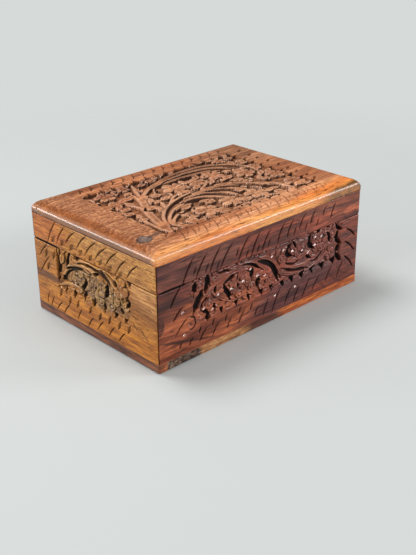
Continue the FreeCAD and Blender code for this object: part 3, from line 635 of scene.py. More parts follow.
endWood = woodMaterial("sheeshamEnd", {
    "along": "Y", "shift": 9.0, "streak": 3.4, "rings": 11.0, "ringDark": 0.12, "coat": 0.3,
    "band": 1.15, "bandShare": 0.4, "bandTone": paint(170, 150, 132),
    "dark": paint(172, 102, 28), "light": paint(220, 146, 52), "third": paint(196, 118, 34),
    # the pale tone is wear with painted highlight on the crests, the dark one painted shade with dirt in the
    # cuts
    "vein": paint(98, 54, 20), "wornAndLit": paint(226, 170, 96), "stain": paint(26, 14, 7), "wearAndHighlightShare": 0.3,
    "patches": [
        # fine mottle across the grain, then the lighter front half of the rail
        patch((-76, 0, 32), (14, 90, 60), (170, 102, 30), (216, 148, 60), share=0.6, grit=0.9),
        patch((-76, -26, 54), (14, 38, 9), (194, 134, 68), (230, 174, 98), share=0.75, ragged=0.7,
              soft=0.3, grit=1.2),
        patch((-76, 44, 51), (14, 24, 8), (190, 100, 42), (226, 138, 60), share=0.75, soft=0.25),
        patch((-76, 44, 23.5), (14, 18, 2.2), (104, 60, 36), share=0.8, ragged=0.7, soft=0.25),
        # greyer carved middle
        patch((-76, -2, 29), (14, 26, 8), (98, 72, 54), (176, 142, 88), turn=(8, 0, 0), share=0.8,
              ragged=0.9, soft=0.35, grit=2.6),
        patch((-76, -42, 30), (14, 20, 4), (136, 84, 44), turn=(16, 0, 0), share=0.6, ragged=0.8, soft=0.4),
        patch((-76, -44, 38), (14, 14, 6), (206, 148, 90), (232, 178, 116), turn=(10, 0, 0), share=0.6,
              ragged=0.7, soft=0.4),
        patch((-76, 0, 11), (14, 70, 7), (176, 102, 20), (220, 140, 40), share=0.75, soft=0.3),
    ],
})
bottomWood = woodMaterial("sheeshamBottom", {
    "along": "XY", "shift": 13.0, "streak": 2.4, "rings": 9.0, "ringDark": 0.35, "coat": 0.3,
    "dark": paint(184, 92, 44), "light": paint(234, 136, 68), "third": paint(210, 112, 52),
    # the pale tone is wear with painted highlight on the crests, the dark one painted shade with dirt in the
    # cuts
    "vein": paint(112, 52, 24), "wornAndLit": paint(220, 150, 100), "stain": paint(30, 15, 8),
    "patches": [
        patch((-32, -51, 2), (20, 12, 9), (176, 124, 78), (220, 166, 112), ragged=0.5, grit=2.4),
        # bark left at the front edge
        patch((-60, -51, 2), (11.5, 12, 9), (44, 36, 32), (138, 120, 104), share=0.95, ragged=0.5,
              grit=1.5),
        patch((-2.5, -51, 2), (12, 12, 9), (74, 44, 40), (118, 74, 62), share=0.88, soft=0.3),
        patch((-76, 0, 2), (9, 60, 9), (88, 56, 42), (138, 86, 60), share=0.93, ragged=0.4),
    ],
})
leafBrass = brassMaterial("hingeBrass", paint(214, 176, 104), paint(150, 112, 62), 3.0)
pinBrass = brassMaterial("pinBrass", paint(206, 164, 92), paint(140, 104, 56), 2.0)
screwBrass = brassMaterial("screwBrass", paint(222, 184, 112), paint(158, 120, 66), 1.2)
print("finishes made")

# The lid's top. Places are u from the left end and v from the back edge.
topCarving = {
    "field": (20.5, 16.5, 131.0, 87.0), "fieldSoft": 0.6, "fieldWave": 0.0, "ground": 1.75,
    "leaves": {"pitch": 6.2, "seed": 4, "root": (24, 88), "skip": 0.26},
    # painted shade and dirt in the hollows, painted shade on the walls falling towards the front, a darker
    # sunk floor
    "shade": {"toward": (0.15, 0.98), "hollowStain": 0.3, "wallStain": 1.0, "floorStain": 0.26},
    # where the grid lines change their step, closest over the carving
    "across": [(-56, 0.8), (56, 0.37), (66, 0.6)],
    "down": [(-37, 0.48), (34, 0.37), (46, 0.5)],
    "edgeRub": {"from": 1.9, "over": 1.1, "share": 0.68},
    # how each kind of cut is made; bow and more shape a stroke, and lean has the points of a dimple
    "how": {
        "backStrokes": {"bow": 0.4, "width": 0.8, "depth": 0.7, "taper": 0.2, "stain": 0.6},
        "frontStrokes": {"bow": 0.5, "width": 0.7, "depth": 0.5, "taper": 0.3, "stain": 0.5},
        "secondStrokes": {"bow": 0.4, "width": 0.7, "depth": 0.35, "taper": 0.4, "stain": 0.35},
        "backDimples": {"lean": (4.2, -4.6, 2.9, -2.4), "width": 1.5, "depth": 0.6, "stain": 0.45},
        "frontDimples": {"lean": (1.2, -1.4, -0.6, 1.0), "width": 1.5, "depth": 0.8, "stain": 0.5},
        "rightMarks": {"lean": (2.2, -1.2, 0, 0, -1.6, 1.4), "width": 1.8, "depth": 0.7, "stain": 0.5},
        "backChips": {"depth": 2.0, "slope": 0.4},
        "rightChips": {"depth": 2.0},
        "stems": {"width": 2.2},
        "mainStems": {"width": 2.8},
        "plumes": {"groove": 0.55},
        "barbs": {"depth": 1.6, "taper": 0.4, "stain": 0.8},
        "cuts": {"depth": 2.1, "taper": 0.4},
    },
    "backStrokes": [(27.5 + 7.4 * k, 5.6, 23.5 + 7.4 * k, 12.5) for k in range(15)],
    "backDimples": [(23.5 + 7.4 * k, 12.5) for k in range(15)],
    "frontStrokes": [(27.0 + 7.3 * k, 88.8, 21.6 + 7.3 * k, 98.8) for k in range(15)],
    "secondStrokes": [(30.4 + 7.3 * k, 90.4, 25.5 + 7.3 * k, 95.6) for k in range(15)],
    # the notches of the back border: where each one is and how wide
    "backChips": [
        (27.3, 3.4), (35.3, 2.6), (42.3, 2.4), (51, 3), (58.3, 3.2), (66.8, 3), (73.8, 2.4), (81, 2.6),
        (88.8, 2.8), (96.3, 2.8), (103.3, 2.8), (110.4, 2.6), (117.5, 2.6), (124.3, 2.8), (130.6, 2.4),
    ],
    "rightChips": [22, 30.3, 37.3, 44, 51.7, 60, 67.5, 75.5, 84],
    "rightMarks": [
        (140, 17), (138.6, 27), (138.2, 34), (138.4, 42.5), (138, 51.5), (136.6, 60), (135.6, 67.5),
        (135.6, 75.5), (134.4, 82),
    ],
    "frontDimples": [(25 + 7.4 * k, 87.8) for k in range(15)],
    # u, v and radius
    "flowers": [
        (30.6, 25, 6.2), (67.5, 40, 8.2), (82, 40.5, 6.0), (96.6, 38.6, 7.4), (113, 48.5, 6.4),
        (124.4, 61.5, 6.0), (57, 77.4, 7.4), (75.4, 75.8, 7.2), (93.6, 76.4, 7.0), (123, 77.6, 6.8),
        (125.4, 44, 5.0), (117, 23, 4.6), (45, 22.6, 3.9), (105, 57.6, 4.4),
    ],
    "buds": [
        (38, 54.2, 3.4), (52, 41.6, 3.3), (53.2, 48.2, 3.1), (27, 47, 3.2), (24.3, 64.6, 2.8),
        (34, 81.6, 3.4), (41.6, 81.4, 3.6), (30.8, 37.8, 3.0), (24.4, 38, 2.8), (43, 29.4, 2.6),
        (47, 49.6, 2.6), (126.8, 31, 3.2), (107.4, 39.4, 3.0), (24.4, 53.6, 2.9), (66.6, 68.6, 3.2),
        (65, 21.6, 3.4), (125.2, 22.6, 3.0), (104.6, 82.4, 3.0), (115, 63.4, 3.0),
    ],
    "mainStems": [
        (23, 87, 25.4, 76, 30.4, 62, 36, 51, 42.6, 41, 51, 34.4, 60, 29.6),
        (24.6, 86, 27.4, 76, 31.8, 63, 37.4, 52, 43.6, 42.6),
    ],
    "stems": [
        (24, 87, 22.8, 78, 23.2, 70, 25, 62),
        (33, 58, 34, 50, 31.4, 42), (38.6, 48, 42, 38, 43, 32), (41.6, 44, 47, 32, 51, 24, 53, 19.6),
        (26.6, 82, 33, 70, 42, 61, 52, 55.4, 62, 52.4, 74, 51), (27, 85, 34, 73.4, 44, 65, 56, 61),
        (27.4, 86.4, 32.6, 78, 40, 72, 48, 69.6), (43, 60.6, 46, 55, 47, 51.4),
        (76, 51.4, 83, 47.6, 89.6, 42), (49, 56.6, 57, 50.4, 61, 49),
    ],
    # the ribs of the two plumes: the width of each, then u and v of its points in turn
    "plumes": [
        (3.0, 46, 38, 56, 31, 68, 26, 82, 22.4, 97, 21.6, 109, 25, 118.4, 32, 123.6, 42),
        (3.2, 58, 31.6, 70, 26.8, 84, 25, 98, 26, 108, 30.6, 114.6, 38, 117, 47),
        (2.8, 66, 30.4, 78, 29.6, 90, 30, 99, 31.4, 105.4, 36),
        (2.8, 54, 59.4, 62, 58.6, 70, 61.4, 74.6, 66, 77, 71),
        (3.0, 60, 55.8, 70, 56, 78, 59.6, 83, 65.4, 84.6, 71),
        (3.0, 68, 53.4, 80, 55, 88, 60, 92.6, 66, 94, 71),
        (3.0, 76, 51.8, 88, 54.6, 96, 60, 100.6, 67, 101.6, 73),
        (2.8, 86, 51.8, 96, 56, 104, 64, 108, 72, 108.6, 79),
        (2.8, 101, 62, 108, 67.4, 113.4, 75, 114.4, 84), (2.2, 44, 65.6, 52, 63.6, 58, 64.6),
    ],
    # the grooves between the ribs, in the same way
    "barbs": [
        (2.4, 57, 61.4, 63, 61.4, 69, 64, 73.4, 69.8), (2.0, 66, 57.4, 73, 59.2, 77.4, 63.6, 79.8, 70.4),
        (3.2, 75, 57, 82.6, 60.6, 87, 65.8, 89.2, 70), (2.2, 82, 55.4, 90.4, 59.6, 94.4, 64.8, 97.2, 70.6),
        (2.6, 94, 58.4, 98.6, 63.4, 102.2, 69, 103.7, 74.6),
        (2.2, 104, 68, 108, 74, 110.4, 80, 110.8, 85.4), (2.2, 111.4, 33, 114, 37, 116.6, 42.4),
        (2.4, 118, 35, 120.4, 40, 121.2, 46, 120.6, 54), (1.1, 62, 32.4, 70, 28.7, 78, 27.8, 86, 28.2),
        (1.6, 74, 31.6, 81, 31.4, 89, 32.4), (0.9, 76, 24.8, 88, 23.4, 99, 24.2),
        (1.8, 92, 27.2, 95.4, 29.4), (1.6, 99, 28.6, 104.4, 32.4),
    ],
    # the deep cuts beside leaves and petals
    "cuts": [
        (1.1, 20.8, 19, 24, 17.4, 27, 15.6), (1.0, 31.4, 18.6, 35, 16), (1.3, 52, 19.6, 55, 18.6, 58.6, 17),
        (2.6, 39.4, 22.6, 40.4, 25.2), (1.6, 21.2, 24, 21, 27), (1.1, 23.6, 26, 22.6, 28.4),
        (2.4, 59.6, 20.8, 60.8, 23.4), (1.3, 60.6, 26, 63.5, 22.6), (1.2, 51, 27, 53.4, 25.6, 55.6, 25),
        (1.0, 46.6, 29, 47.4, 27), (1.1, 51.4, 29.4, 53, 27), (2.6, 21, 33.4, 23.4, 31),
        (1.9, 25, 34.4, 26.6, 32.4, 29, 32, 29.4, 34.2), (2.0, 38.6, 30, 39.4, 33.4),
        (2.2, 60, 33.4, 57.4, 36, 56.2, 40, 57, 43.6), (2.2, 72.4, 35.4, 74.6, 37.8),
        (2.0, 49, 40.4, 47.6, 42.6, 49.4, 45.8), (2.8, 21, 42, 23, 44.4), (1.3, 23.4, 46, 23.8, 48.4),
        (1.8, 56.6, 45, 57.4, 47.2), (1.5, 60, 47.6, 63, 45.8), (1.9, 71, 44.4, 71.6, 48.2),
        (1.7, 48, 50, 51.2, 52.2), (1.1, 41.6, 52.4, 41.6, 55),
        (2.0, 35.6, 52.8, 33.4, 56, 35.2, 58.4, 38.8, 58.5), (2.6, 20.8, 56, 21.6, 58),
        (1.6, 22.6, 59, 26, 56.4), (1.4, 76.4, 56, 79.6, 59),
        (1.9, 21, 63.6, 21.4, 70, 21, 77, 20.6, 82, 20.4, 85.4, 19.4, 87.6, 17.2, 89.2),
        (1.0, 40.6, 69.8, 44, 72, 48, 71.4), (1.3, 52, 71.6, 54.6, 69.6), (2.0, 46.6, 74, 48, 77, 50, 79.8),
        (1.6, 60.4, 66.6, 61, 69, 62.2, 71), (1.9, 63.4, 76.6, 65.6, 75, 67.4, 75.6),
        (2.4, 82.6, 78.6, 84.8, 75.6), (2.0, 86, 81, 87, 84), (2.3, 29.8, 79.4, 29.3, 82.2, 31.7, 84.8),
        (1.7, 36.4, 80.8, 36.9, 83.8, 38.6, 85.2), (1.5, 49, 85, 50, 83), (1.3, 54.6, 86.6, 59.6, 84.8),
        (1.5, 68.6, 81.4, 69.4, 83.6), (0.9, 70.4, 84, 73.4, 82.4, 77, 82.6), (1.1, 73.4, 85.4, 74.6, 84.6),
        (1.8, 101.6, 31, 103.4, 33), (1.8, 103.6, 38.8, 105.8, 40.6), (1.4, 104.8, 44.8, 108.6, 41),
        (1.5, 104.6, 46.8, 106, 46.4), (1.7, 123.4, 30.8, 123.6, 33, 125, 33.4),
        (1.7, 111.4, 25.6, 114.6, 26.2, 118, 26.9), (1.9, 110.6, 20, 111.8, 22.8),
        (1.1, 91, 38.8, 92.2, 37.2), (1.4, 88.2, 45.2, 88.8, 42.6), (1.6, 84.4, 50.2, 86.2, 47.8),
        (1.7, 93, 46.8, 93.6, 50), (1.2, 98.6, 53, 96, 56), (2.4, 106.4, 53.6, 106.2, 56.6, 107.6, 59),
        (1.8, 105.8, 63.4, 109.2, 61.2), (1.5, 115, 61.4, 117.2, 58.2), (3.2, 113, 65.6, 114.6, 67),
        (2.0, 118, 68.2, 118.6, 68.5), (1.6, 114.4, 74, 116.8, 71.8),
        (2.4, 99.4, 79.8, 100.6, 82.6, 101.8, 84), (1.6, 94.2, 86.2, 95.8, 85.4), (1.0, 90.8, 84, 92.4, 83),
        (1.7, 117, 86.5, 119.1, 83.8), (1.4, 118, 79.4, 119, 80.6), (1.6, 122.4, 84.8, 124.4, 86.8),
        (1.6, 127, 82.8, 129, 81.4), (1.6, 129, 46, 131.6, 43), (1.2, 77, 85, 79.2, 86.2),
    ],
}


def carveTop(face):
    data, how = topCarving, topCarving["how"]
    for kind in ("backStrokes", "frontStrokes", "secondStrokes"):
        face.strokes(data[kind], **how[kind])
    for kind in ("backDimples", "frontDimples", "rightMarks"):
        face.dimples(data[kind], **how[kind])
    for u, wide in data["backChips"]:
        corners = [(u - wide / 2 - 0.7, 18.6), (u + 0.1, 12.6), (u + wide / 2 + 0.6, 18.2)]
        face.chip(corners, **how["backChips"])
    for v in data["rightChips"]:
        face.chip([(129.6, v - 2.0), (133.8, v - 0.4), (129.6, v + 2.0)], **how["rightChips"])
    for kind in ("mainStems", "stems"):
        for path in data[kind]:
            face.rib(path, **how[kind])
    for width, *path in data["plumes"]:
        face.rib(path, width, **how["plumes"])
    for k, (u, v, radius) in enumerate(data["flowers"]):
        face.flower((u, v), radius, turn=0.4 + k * 0.8)
    for u, v, radius in data["buds"]:
        face.bud((u, v), radius)
    face.fillGaps(data["field"], **data["leaves"])
    for kind in ("barbs", "cuts"):
        for width, *path in data[kind]:
            face.gouge(path, width, **how[kind])
    return face.sunk(data)


def makeLidTop():
    low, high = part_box("lid_top_board")
    halfLong, halfDeep, foot, head = high.x / mm, high.y / mm, low.z / mm, high.z / mm
    edge = list(np.round(board["topRound"] * (1 - np.cos(np.linspace(0, math.pi / 2, 11))), 5))
    across = gridLines(-halfLong, halfLong, topCarving["across"], edge, edge)
    down = gridLines(-halfDeep, halfDeep, topCarving["down"], edge, edge)
    bm, flat, cell = lineGrid(across, down)
    plan = np.column_stack([flat[:, 0] + halfLong, halfDeep - flat[:, 1]])
    deep, stain, wearAndHighlight = carveTop(CarvedFace(plan, cell))
    fromEdge = np.minimum(halfLong - abs(flat[:, 0]), halfDeep - abs(flat[:, 1]))
    edgeRub = topCarving["edgeRub"]
    wearAndHighlight = np.maximum(wearAndHighlight, edgeRub["share"] * ease((edgeRub["from"] - fromEdge) / edgeRub["over"]))
    fall = rounded(fromEdge, board["topRound"])
    # the upright corners are eased, so points near one are drawn in to a small circle
    arm = abs(flat) - (np.array((halfLong, halfDeep)) - board["ease"])
    inCorner = (arm > 0).all(1)
    reach = np.hypot(arm[:, 0], arm[:, 1])
    pull = np.where(reach > board["ease"], board["ease"] / np.maximum(reach, 1e-9), 1.0)
    flat = np.where(inCorner[:, None], np.sign(flat) * (abs(flat) - arm + arm * pull[:, None]), flat)
    places = np.column_stack([flat, head - fall - deep * (fromEdge > 0.01)]) * mm
    closeBoard(bm, places, stain, wearAndHighlight, lambda co: Vector((co.x, co.y, foot * mm)))
    addPiece(bm, "carvedLidTop", "lid", topWood, ["lid_top_board"])


makeLidTop()

# What the front and the ends have in common: a rail's strokes and dimples, and a wall's sunk spray.
def carveRail(face, data):
    how = data["how"]
    face.strokes(data["railStrokes"], **how["railStrokes"])
    face.dimples(data["railDimples"], **how["railDimples"])
    face.gouge(data["railLine"], **how["line"])


def carveWall(face, data):
    how = data["how"]
    face.strokes(data["strokes"], **how["strokes"])
    face.dimples(data["dimples"], **how["dimples"])
    face.gouge(data["wallLine"], **how["line"])
    face.chips(data["chips"], **how["chips"])
    for path in data["ribs"]:
        face.rib(path, **how["ribs"])
    for k, centre in enumerate(data["flowers"]):
        face.flower(centre, turn=0.2 + k, **how["flowers"])
    for centre in data["buds"]:
        face.bud(centre, **how["buds"])
    for width, *path in data["cuts"]:
        face.gouge(path, width * data["widen"], **how["cuts"])


# The front, seen from outside.
frontCarving = {
    "field": (21, 12, 134.5, 43.2), "fieldSoft": 2.0, "fieldWave": 1.3, "ground": 1.0,
    "leaves": {"area": (21, 20, 134.5, 43.6), "pitch": 4.2, "seed": 9, "root": (20, 44)},
    # painted shade and dirt in the hollows, painted shade on the walls falling towards one side
    "shade": {"toward": (-0.6, 0.8), "hollowStain": 0.8, "wallStain": 0.8},
    "how": {
        "railStrokes": {"bow": -0.6, "more": 0.17, "width": 0.95, "depth": 1.0, "taper": 0.25},
        "railDimples": {"lean": (1.0, -2.3, -0.9, 2.3), "width": 1.0, "depth": 0.6, "stain": 0.6},
        "line": {"width": 0.8, "depth": 0.25, "taper": 0.1},
        "strokes": {"bow": -0.4, "more": 0.16, "width": 0.95, "depth": 1.0, "taper": 0.25},
        "rightFan": {"bow": 0.7, "more": 0.08, "width": 1.0, "depth": 1.0, "taper": 0.2},
        "dimples": {"lean": (0.9, -2.0, -0.8, 2.0), "width": 1.1, "depth": 0.6, "stain": 0.8},
        "ribs": {"width": 2.3, "groove": 0.4},
        "flowers": {"radius": 4.2},
        "buds": {"radius": 2.8},
        "curl": {"width": 0.9, "depth": 0.9, "taper": 0.2},
        "cuts": {"depth": 2.3, "taper": 0.25},
        "chips": {"shape": [(-1.8, 41.4), (1.7, 41.4), (0.3, 45.8)], "depth": 2.2},
        "wideChips": {"shape": [(-2.2, 42), (3.2, 41), (0.8, 46)], "depth": 2.2},
        "facets": {"size": (1.25, 0.55), "turn": -0.3, "slope": (0.0, 0.62)},
    },
    "widen": 1.35,  # all the cuts together
    # the short scratched line beside the seam, on either side of it
    "railLine": [(1.4, 20.7), (19, 20.7)],
    "wallLine": [(1.4, 21.1), (18, 21.1)],
    "railStrokes": [
        (22.5, 10, 16.5, 20), (31, 10.5, 25.5, 19), (40, 10, 34.5, 19), (48.5, 10, 42, 19),
        (60, 10, 54.5, 19), (68.5, 10, 63.5, 19.5), (76, 11, 71.5, 19), (87, 10, 83, 18),
        (94, 10, 90.5, 17), (104, 9, 100, 15), (112, 9, 109, 15), (121.5, 9, 119, 13), (129, 9.5, 126, 16),
    ],
    "railDimples": [
        (24, 16), (32, 17), (39.5, 18), (53, 15), (60, 18), (68, 17.5), (76, 17), (96, 16), (105, 16),
        (114.5, 16),
    ],
    "strokes": [
        (31, 50, 27, 55), (39.5, 50, 36, 55), (48.5, 51, 46, 55), (58, 50, 54.5, 55), (69, 51, 66.5, 55),
        (76, 50, 73, 57), (85, 47, 80, 57), (94, 49, 90, 56), (101, 50, 97, 57), (109, 49, 104.5, 57),
        (117, 50, 112.5, 56), (128, 47, 124, 54), (138, 47, 134, 54), (22, 52, 20, 55), (14, 22, 8.5, 29.5),
        (15, 33, 10, 38), (18, 40, 11.5, 46),
    ],
    "rightFan": [(141, 27.5, 148, 33), (140, 35, 148, 42), (140, 44, 147.5, 52)],
    "dimples": [(27, 49), (36, 48), (45, 49), (55, 48), (63.5, 49), (14, 53)],
    "cuts": [
        (2.3, 24.6, 22.6, 23.9, 25, 24.4, 27.4), (2.6, 33.4, 21, 32.4, 25.5, 31, 30),
        (2.7, 28.9, 28.6, 26.3, 33, 23.6, 38), (1.5, 34, 33.2, 30, 34.6, 28.6, 37.2, 30.4, 40, 34, 42.6),
        (2.0, 33.4, 42, 32, 45.6), (1.5, 37, 38, 37.4, 42), (1.3, 38.4, 28.4, 38.2, 33),
        (1.4, 52, 26.6, 48.5, 28.4, 44, 30.2), (1.8, 44.6, 30, 45.2, 33.4, 47.4, 36.4, 48.2, 40),
        (0.8, 39.5, 22.8, 44, 23, 49, 23.6), (1.2, 56, 23.6, 62, 24.6, 66.5, 26.8, 70, 29.4),
        (2.2, 61, 27.4, 64.4, 29, 63.6, 33.4), (2.0, 70, 34.6, 68.2, 37, 69.2, 39.6),
        (1.3, 53.4, 33, 54.2, 34.4), (2.0, 69, 25.4, 75, 27.8, 79.4, 31, 82.6, 36.4, 84.4, 41.4),
        (2.1, 94.4, 23, 91.2, 25.4, 91.6, 28.4, 94.6, 30), (1.1, 96, 22, 97.6, 25.8),
        (2.1, 110.4, 22, 109, 25, 109.4, 28, 112.4, 30.8), (1.5, 123.6, 24.6, 125.2, 26.6, 126.8, 31),
        (1.6, 131, 21.8, 133, 24.4, 136.4, 26.2), (1.9, 133, 27, 132, 31, 136, 34.6),
        (2.2, 134.6, 35, 132.6, 39.4), (2.1, 132.4, 40, 134, 42.4, 136.6, 45),
        (1.2, 88, 35.2, 94, 38, 101, 39.8, 108, 41), (1.0, 90, 33, 96.4, 35, 103.4, 34),
        (1.4, 106.6, 33.4, 110.4, 36), (1.1, 110, 38.2, 116, 38.2, 122, 34), (1.6, 115, 20.6, 117, 22.6),
        (1.8, 123.6, 21, 125, 21.6),
    ],
    # thumb cuts that catch the light
    "facets": [
        (40, 34), (49, 34), (57.5, 32.5), (68.5, 33), (74, 34.5), (79, 25.5), (63, 27.5), (88, 24.5),
        (95, 27), (103, 29), (108, 32), (113.5, 24.5), (113.5, 29), (30, 38.5), (36, 41), (119, 25.5),
        (16, 35.5), (17, 48), (82, 49), (98, 49), (84, 20.8), (94, 20.8), (103, 20.8), (113, 20.8),
        (120, 21), (127, 21),
    ],
    "curl": [(20, 39.4), (23.4, 41), (24, 44.4), (21.6, 46.6), (19.8, 46)],
    "chips": [42, 52.5, 61.5, 71, 78.5],
    "wideChips": [87, 94.5, 102.5, 111, 119.5, 129],
    "flowers": [(49.5, 34.5), (58, 33.5), (75.5, 35), (97.5, 27), (115, 28), (126.5, 38)],
    "buds": [
        (33.6, 37.6), (27.4, 25.4), (36.8, 25.6), (55, 39), (64, 37.6), (86.5, 29), (104, 28), (128.5, 27),
        (119, 32),
    ],
    "ribs": [
        (22, 44, 26.4, 36, 33, 30, 42, 26.4, 52, 25.2, 61, 27),
        (35, 27, 44, 24.4, 54, 23.2, 64, 24.6, 72, 29, 79, 37), (70, 23.4, 77, 26, 84, 33.4, 87, 40),
        (84, 36.4, 92, 39.6, 103, 41.6, 116, 40.6, 124, 36), (86, 33.6, 94, 36.4, 103, 37.6, 112, 36),
        (36, 32, 44, 38, 54, 42), (25, 40, 29, 31, 31, 24),
    ],
}


def carveRailFace(face):
    carveRail(face, frontCarving)
    return face.onlyCut()


def carveFrontFace(face):
    data, how = frontCarving, frontCarving["how"]
    carveWall(face, data)
    face.strokes(data["rightFan"], **how["rightFan"])
    face.gouge(data["curl"], **how["curl"])
    face.chips(data["wideChips"], **how["wideChips"])
    return face.withLeaves(data)


carvedSide("carvedFrontWall", "base_front_wall", 0, carveFrontFace, frontWood, "base")
carvedSide("carvedFrontRail", "lid_front_rail", 0, carveRailFace, frontWood, "lid")

# The ends. The left one is in the photograph and the right one is taken to match it.
endCarving = {
    "field": (21, 12, 81, 43), "fieldSoft": 2.0, "fieldWave": 1.4, "ground": 1.05,
    "leaves": {"area": (21, 21, 81, 43), "pitch": 6.0, "seed": 12, "root": (20, 44), "skip": 0.24},
    # painted shade and dirt in the hollows, painted shade on the walls falling towards one side
    "shade": {"toward": (0.5, 0.85), "hollowStain": 0.9, "wallStain": 0.9},
    "how": {
        "railStrokes": {"bow": -0.9, "more": 0.08, "width": 0.75, "depth": 0.9, "taper": 0.3},
        "railDimples": {
            "lean": (1.1, -1.6, -1.1, 1.6), "width": 3.2, "depth": 0.5, "taper": 0.6, "stain": 0.5,
        },
        "railChips": {"shape": [(-1.0, 19.4), (1.0, 19.2), (0.2, 20.6)], "depth": 0.9, "slope": 0.4},
        "line": {"width": 0.9, "depth": 0.25, "taper": 0.1},
        "strokes": {"bow": -0.4, "more": 0.1, "width": 0.7, "depth": 0.7, "taper": 0.3, "stain": 0.85},
        "dimples": {
            "lean": (1.0, -2.4, -1.0, 2.2), "width": 2.2, "depth": 0.55, "taper": 0.5, "stain": 0.65,
        },
        "ribs": {"width": 2.1, "crest": 0.0},
        "grooves": {"width": 1.5, "depth": 1.7, "taper": 0.4},
        "flowers": {"radius": 5.6, "petals": 4},
        "buds": {"radius": 2.7},
        "ovals": {"size": (4.0, 2.2), "turn": 1.9},
        "cuts": {"depth": 2.2, "taper": 0.2},
        "chips": {"shape": [(-1.4, 41.8), (1.7, 42.2), (0.1, 45.8)], "depth": 2.1},
        "facets": {"size": (0.8, 0.6), "turn": 0.3, "slope": (0.51, 0.57)},
    },
    "widen": 1.3,
    "railLine": [(1.4, 20.7), (23, 20.7)],
    "wallLine": [(1.4, 21.1), (23, 21.1)],
    "railStrokes": [
        (21.5, 7, 13.5, 20), (29, 8, 22, 18), (38, 8, 30, 16), (47.8, 7.3, 39.8, 15.6),
        (55.3, 8.5, 46.7, 17), (63.6, 8.9, 54.8, 17.1), (72.9, 8.1, 63.1, 17.9), (79.1, 10.5, 71.5, 19.4),
        (87.9, 10.5, 79.9, 19),
    ],
    "railDimples": [
        (18.5, 17), (26.5, 17), (34.6, 17), (42.6, 17.5), (50.9, 17.6), (59, 17.6), (66.6, 18.4),
        (74.7, 18.8),
    ],
    "railChips": [37.6, 45.9, 54.1, 62.1, 70.7],
    "strokes": [
        (10.5, 51, 8.5, 57), (15, 52, 12, 58), (22, 53, 17.5, 58), (29, 52, 24, 58), (40, 51, 36.5, 57),
        (50, 52, 45.5, 58), (58.5, 51, 53.5, 57), (67.5, 51, 63, 57), (76, 51, 71, 57), (12, 22, 4.5, 30),
        (13, 29, 4.5, 39.5),
    ],
    "whiskers": [(82, 38, 87, 39), (83, 42, 86, 45), (89, 44, 94, 48)],
    "dimples": [
        (22, 47), (30, 49), (37, 48.5), (48, 48), (56, 49), (64, 48), (72, 48), (79.5, 47.5), (11, 27),
        (12, 34.5), (18, 26.5),
    ],
    "chips": [27, 34.5, 43, 51, 60, 68.5, 77],
    "cuts": [
        (1.9, 31.4, 21, 29.8, 25, 27.8, 29.6), (2.5, 38, 20.8, 38.4, 23.2),
        (1.3, 44, 23.4, 49.6, 23.2, 55.4, 24.4), (2.0, 56.6, 22.8, 61.6, 24.6, 66.6, 28),
        (1.7, 44.2, 30.1, 45.7, 32.8, 43.5, 36.3, 42.1, 37.9, 43.9, 40, 42.4, 42.2, 43.7, 43.7),
        (2.2, 62.6, 28.8, 63.2, 32.4, 61, 36.2), (2.4, 68.6, 24.4, 71, 27.2), (2.6, 79, 20.4, 81.6, 23.6),
        (2.1, 78, 31, 80.2, 33, 78.4, 35.6), (2.1, 22.8, 28.8, 22, 32.6, 20.6, 35.6),
        (2.0, 27.8, 35.4, 24, 38.6), (2.0, 72.5, 38.4, 74.6, 40.9), (1.4, 69.2, 42.3, 69.8, 44.3),
        (1.2, 27, 36.6, 28.1, 38.2), (1.2, 26.8, 42, 27.2, 45.5), (1.5, 34.4, 42.7, 34.9, 45.6),
        (1.3, 59.9, 40.8, 60.4, 44.8), (1.3, 51.8, 26.8, 55.9, 25.4), (1.1, 28, 31, 34, 28.6, 41, 27.4),
        (1.4, 21, 21.6, 21, 27, 20.8, 34, 21, 41), (1.2, 54.6, 33, 53.4, 34), (1.6, 60, 41.4, 59.4, 44),
        (1.6, 50, 41, 52, 44), (1.1, 36.6, 29.6, 38.2, 32.2),
    ],
    "flowers": [(43, 33), (51, 36), (57.5, 32), (68, 33.5), (74, 27)],
    "buds": [(36, 35), (33, 39.6), (52, 29.4), (77.5, 36), (66, 39.6), (48, 42), (57, 40)],
    "ovals": [(25, 26), (34, 24)],
    "facets": [
        (37, 31), (50, 31), (58, 34.5), (69, 32), (74, 30.5), (77.6, 37), (66, 39.5), (53, 38.6),
    ],
    "ribs": [
        (24, 38, 29, 31, 35.5, 26.4, 44.8, 24.8, 51.2, 25.4, 57, 27.4, 62.6, 31.6),
        (30, 28.6, 38.4, 23.4, 48.4, 21.5, 56.2, 22.1, 63, 24.4, 68.1, 27.4, 72.4, 31, 75, 35),
        (56.4, 20.8, 64, 21.7, 69.9, 24.2, 74.4, 28, 78, 32.4), (22, 42, 30, 39, 40, 38),
    ],
    # the grooves between the fronds, dark with painted shade and dirt
    "grooves": [
        (39, 24.8, 45, 23.2, 51.5, 23.4, 57.4, 24.7, 62.8, 27.4, 66.4, 30.6, 68.4, 34),
        (59, 21.8, 65, 23.1, 70, 26, 74, 30.4), (26.6, 36.4, 31, 31.6, 37, 28.4, 43, 27.2, 49, 28),
    ],
}


def carveEndRail(face):
    carveRail(face, endCarving)
    face.chips(endCarving["railChips"], **endCarving["how"]["railChips"])
    return face.onlyCut()


def carveEndFace(face):
    data, how = endCarving, endCarving["how"]
    carveWall(face, data)
    face.strokes(data["whiskers"], **how["strokes"])
    for path in data["grooves"]:
        face.gouge(path, **how["grooves"])
    for centre in data["ovals"]:
        face.leaf(centre, **how["ovals"])
    return face.withLeaves(data)


for side, turn in (("left", -90), ("right", 90)):
    name = "carved" + side.title()
    carvedSide(name + "Wall", f"base_{side}_wall", turn, carveEndFace, endWood, "base")
    carvedSide(name + "Rail", f"lid_{side}_rail", turn, carveEndRail, endWood, "lid")

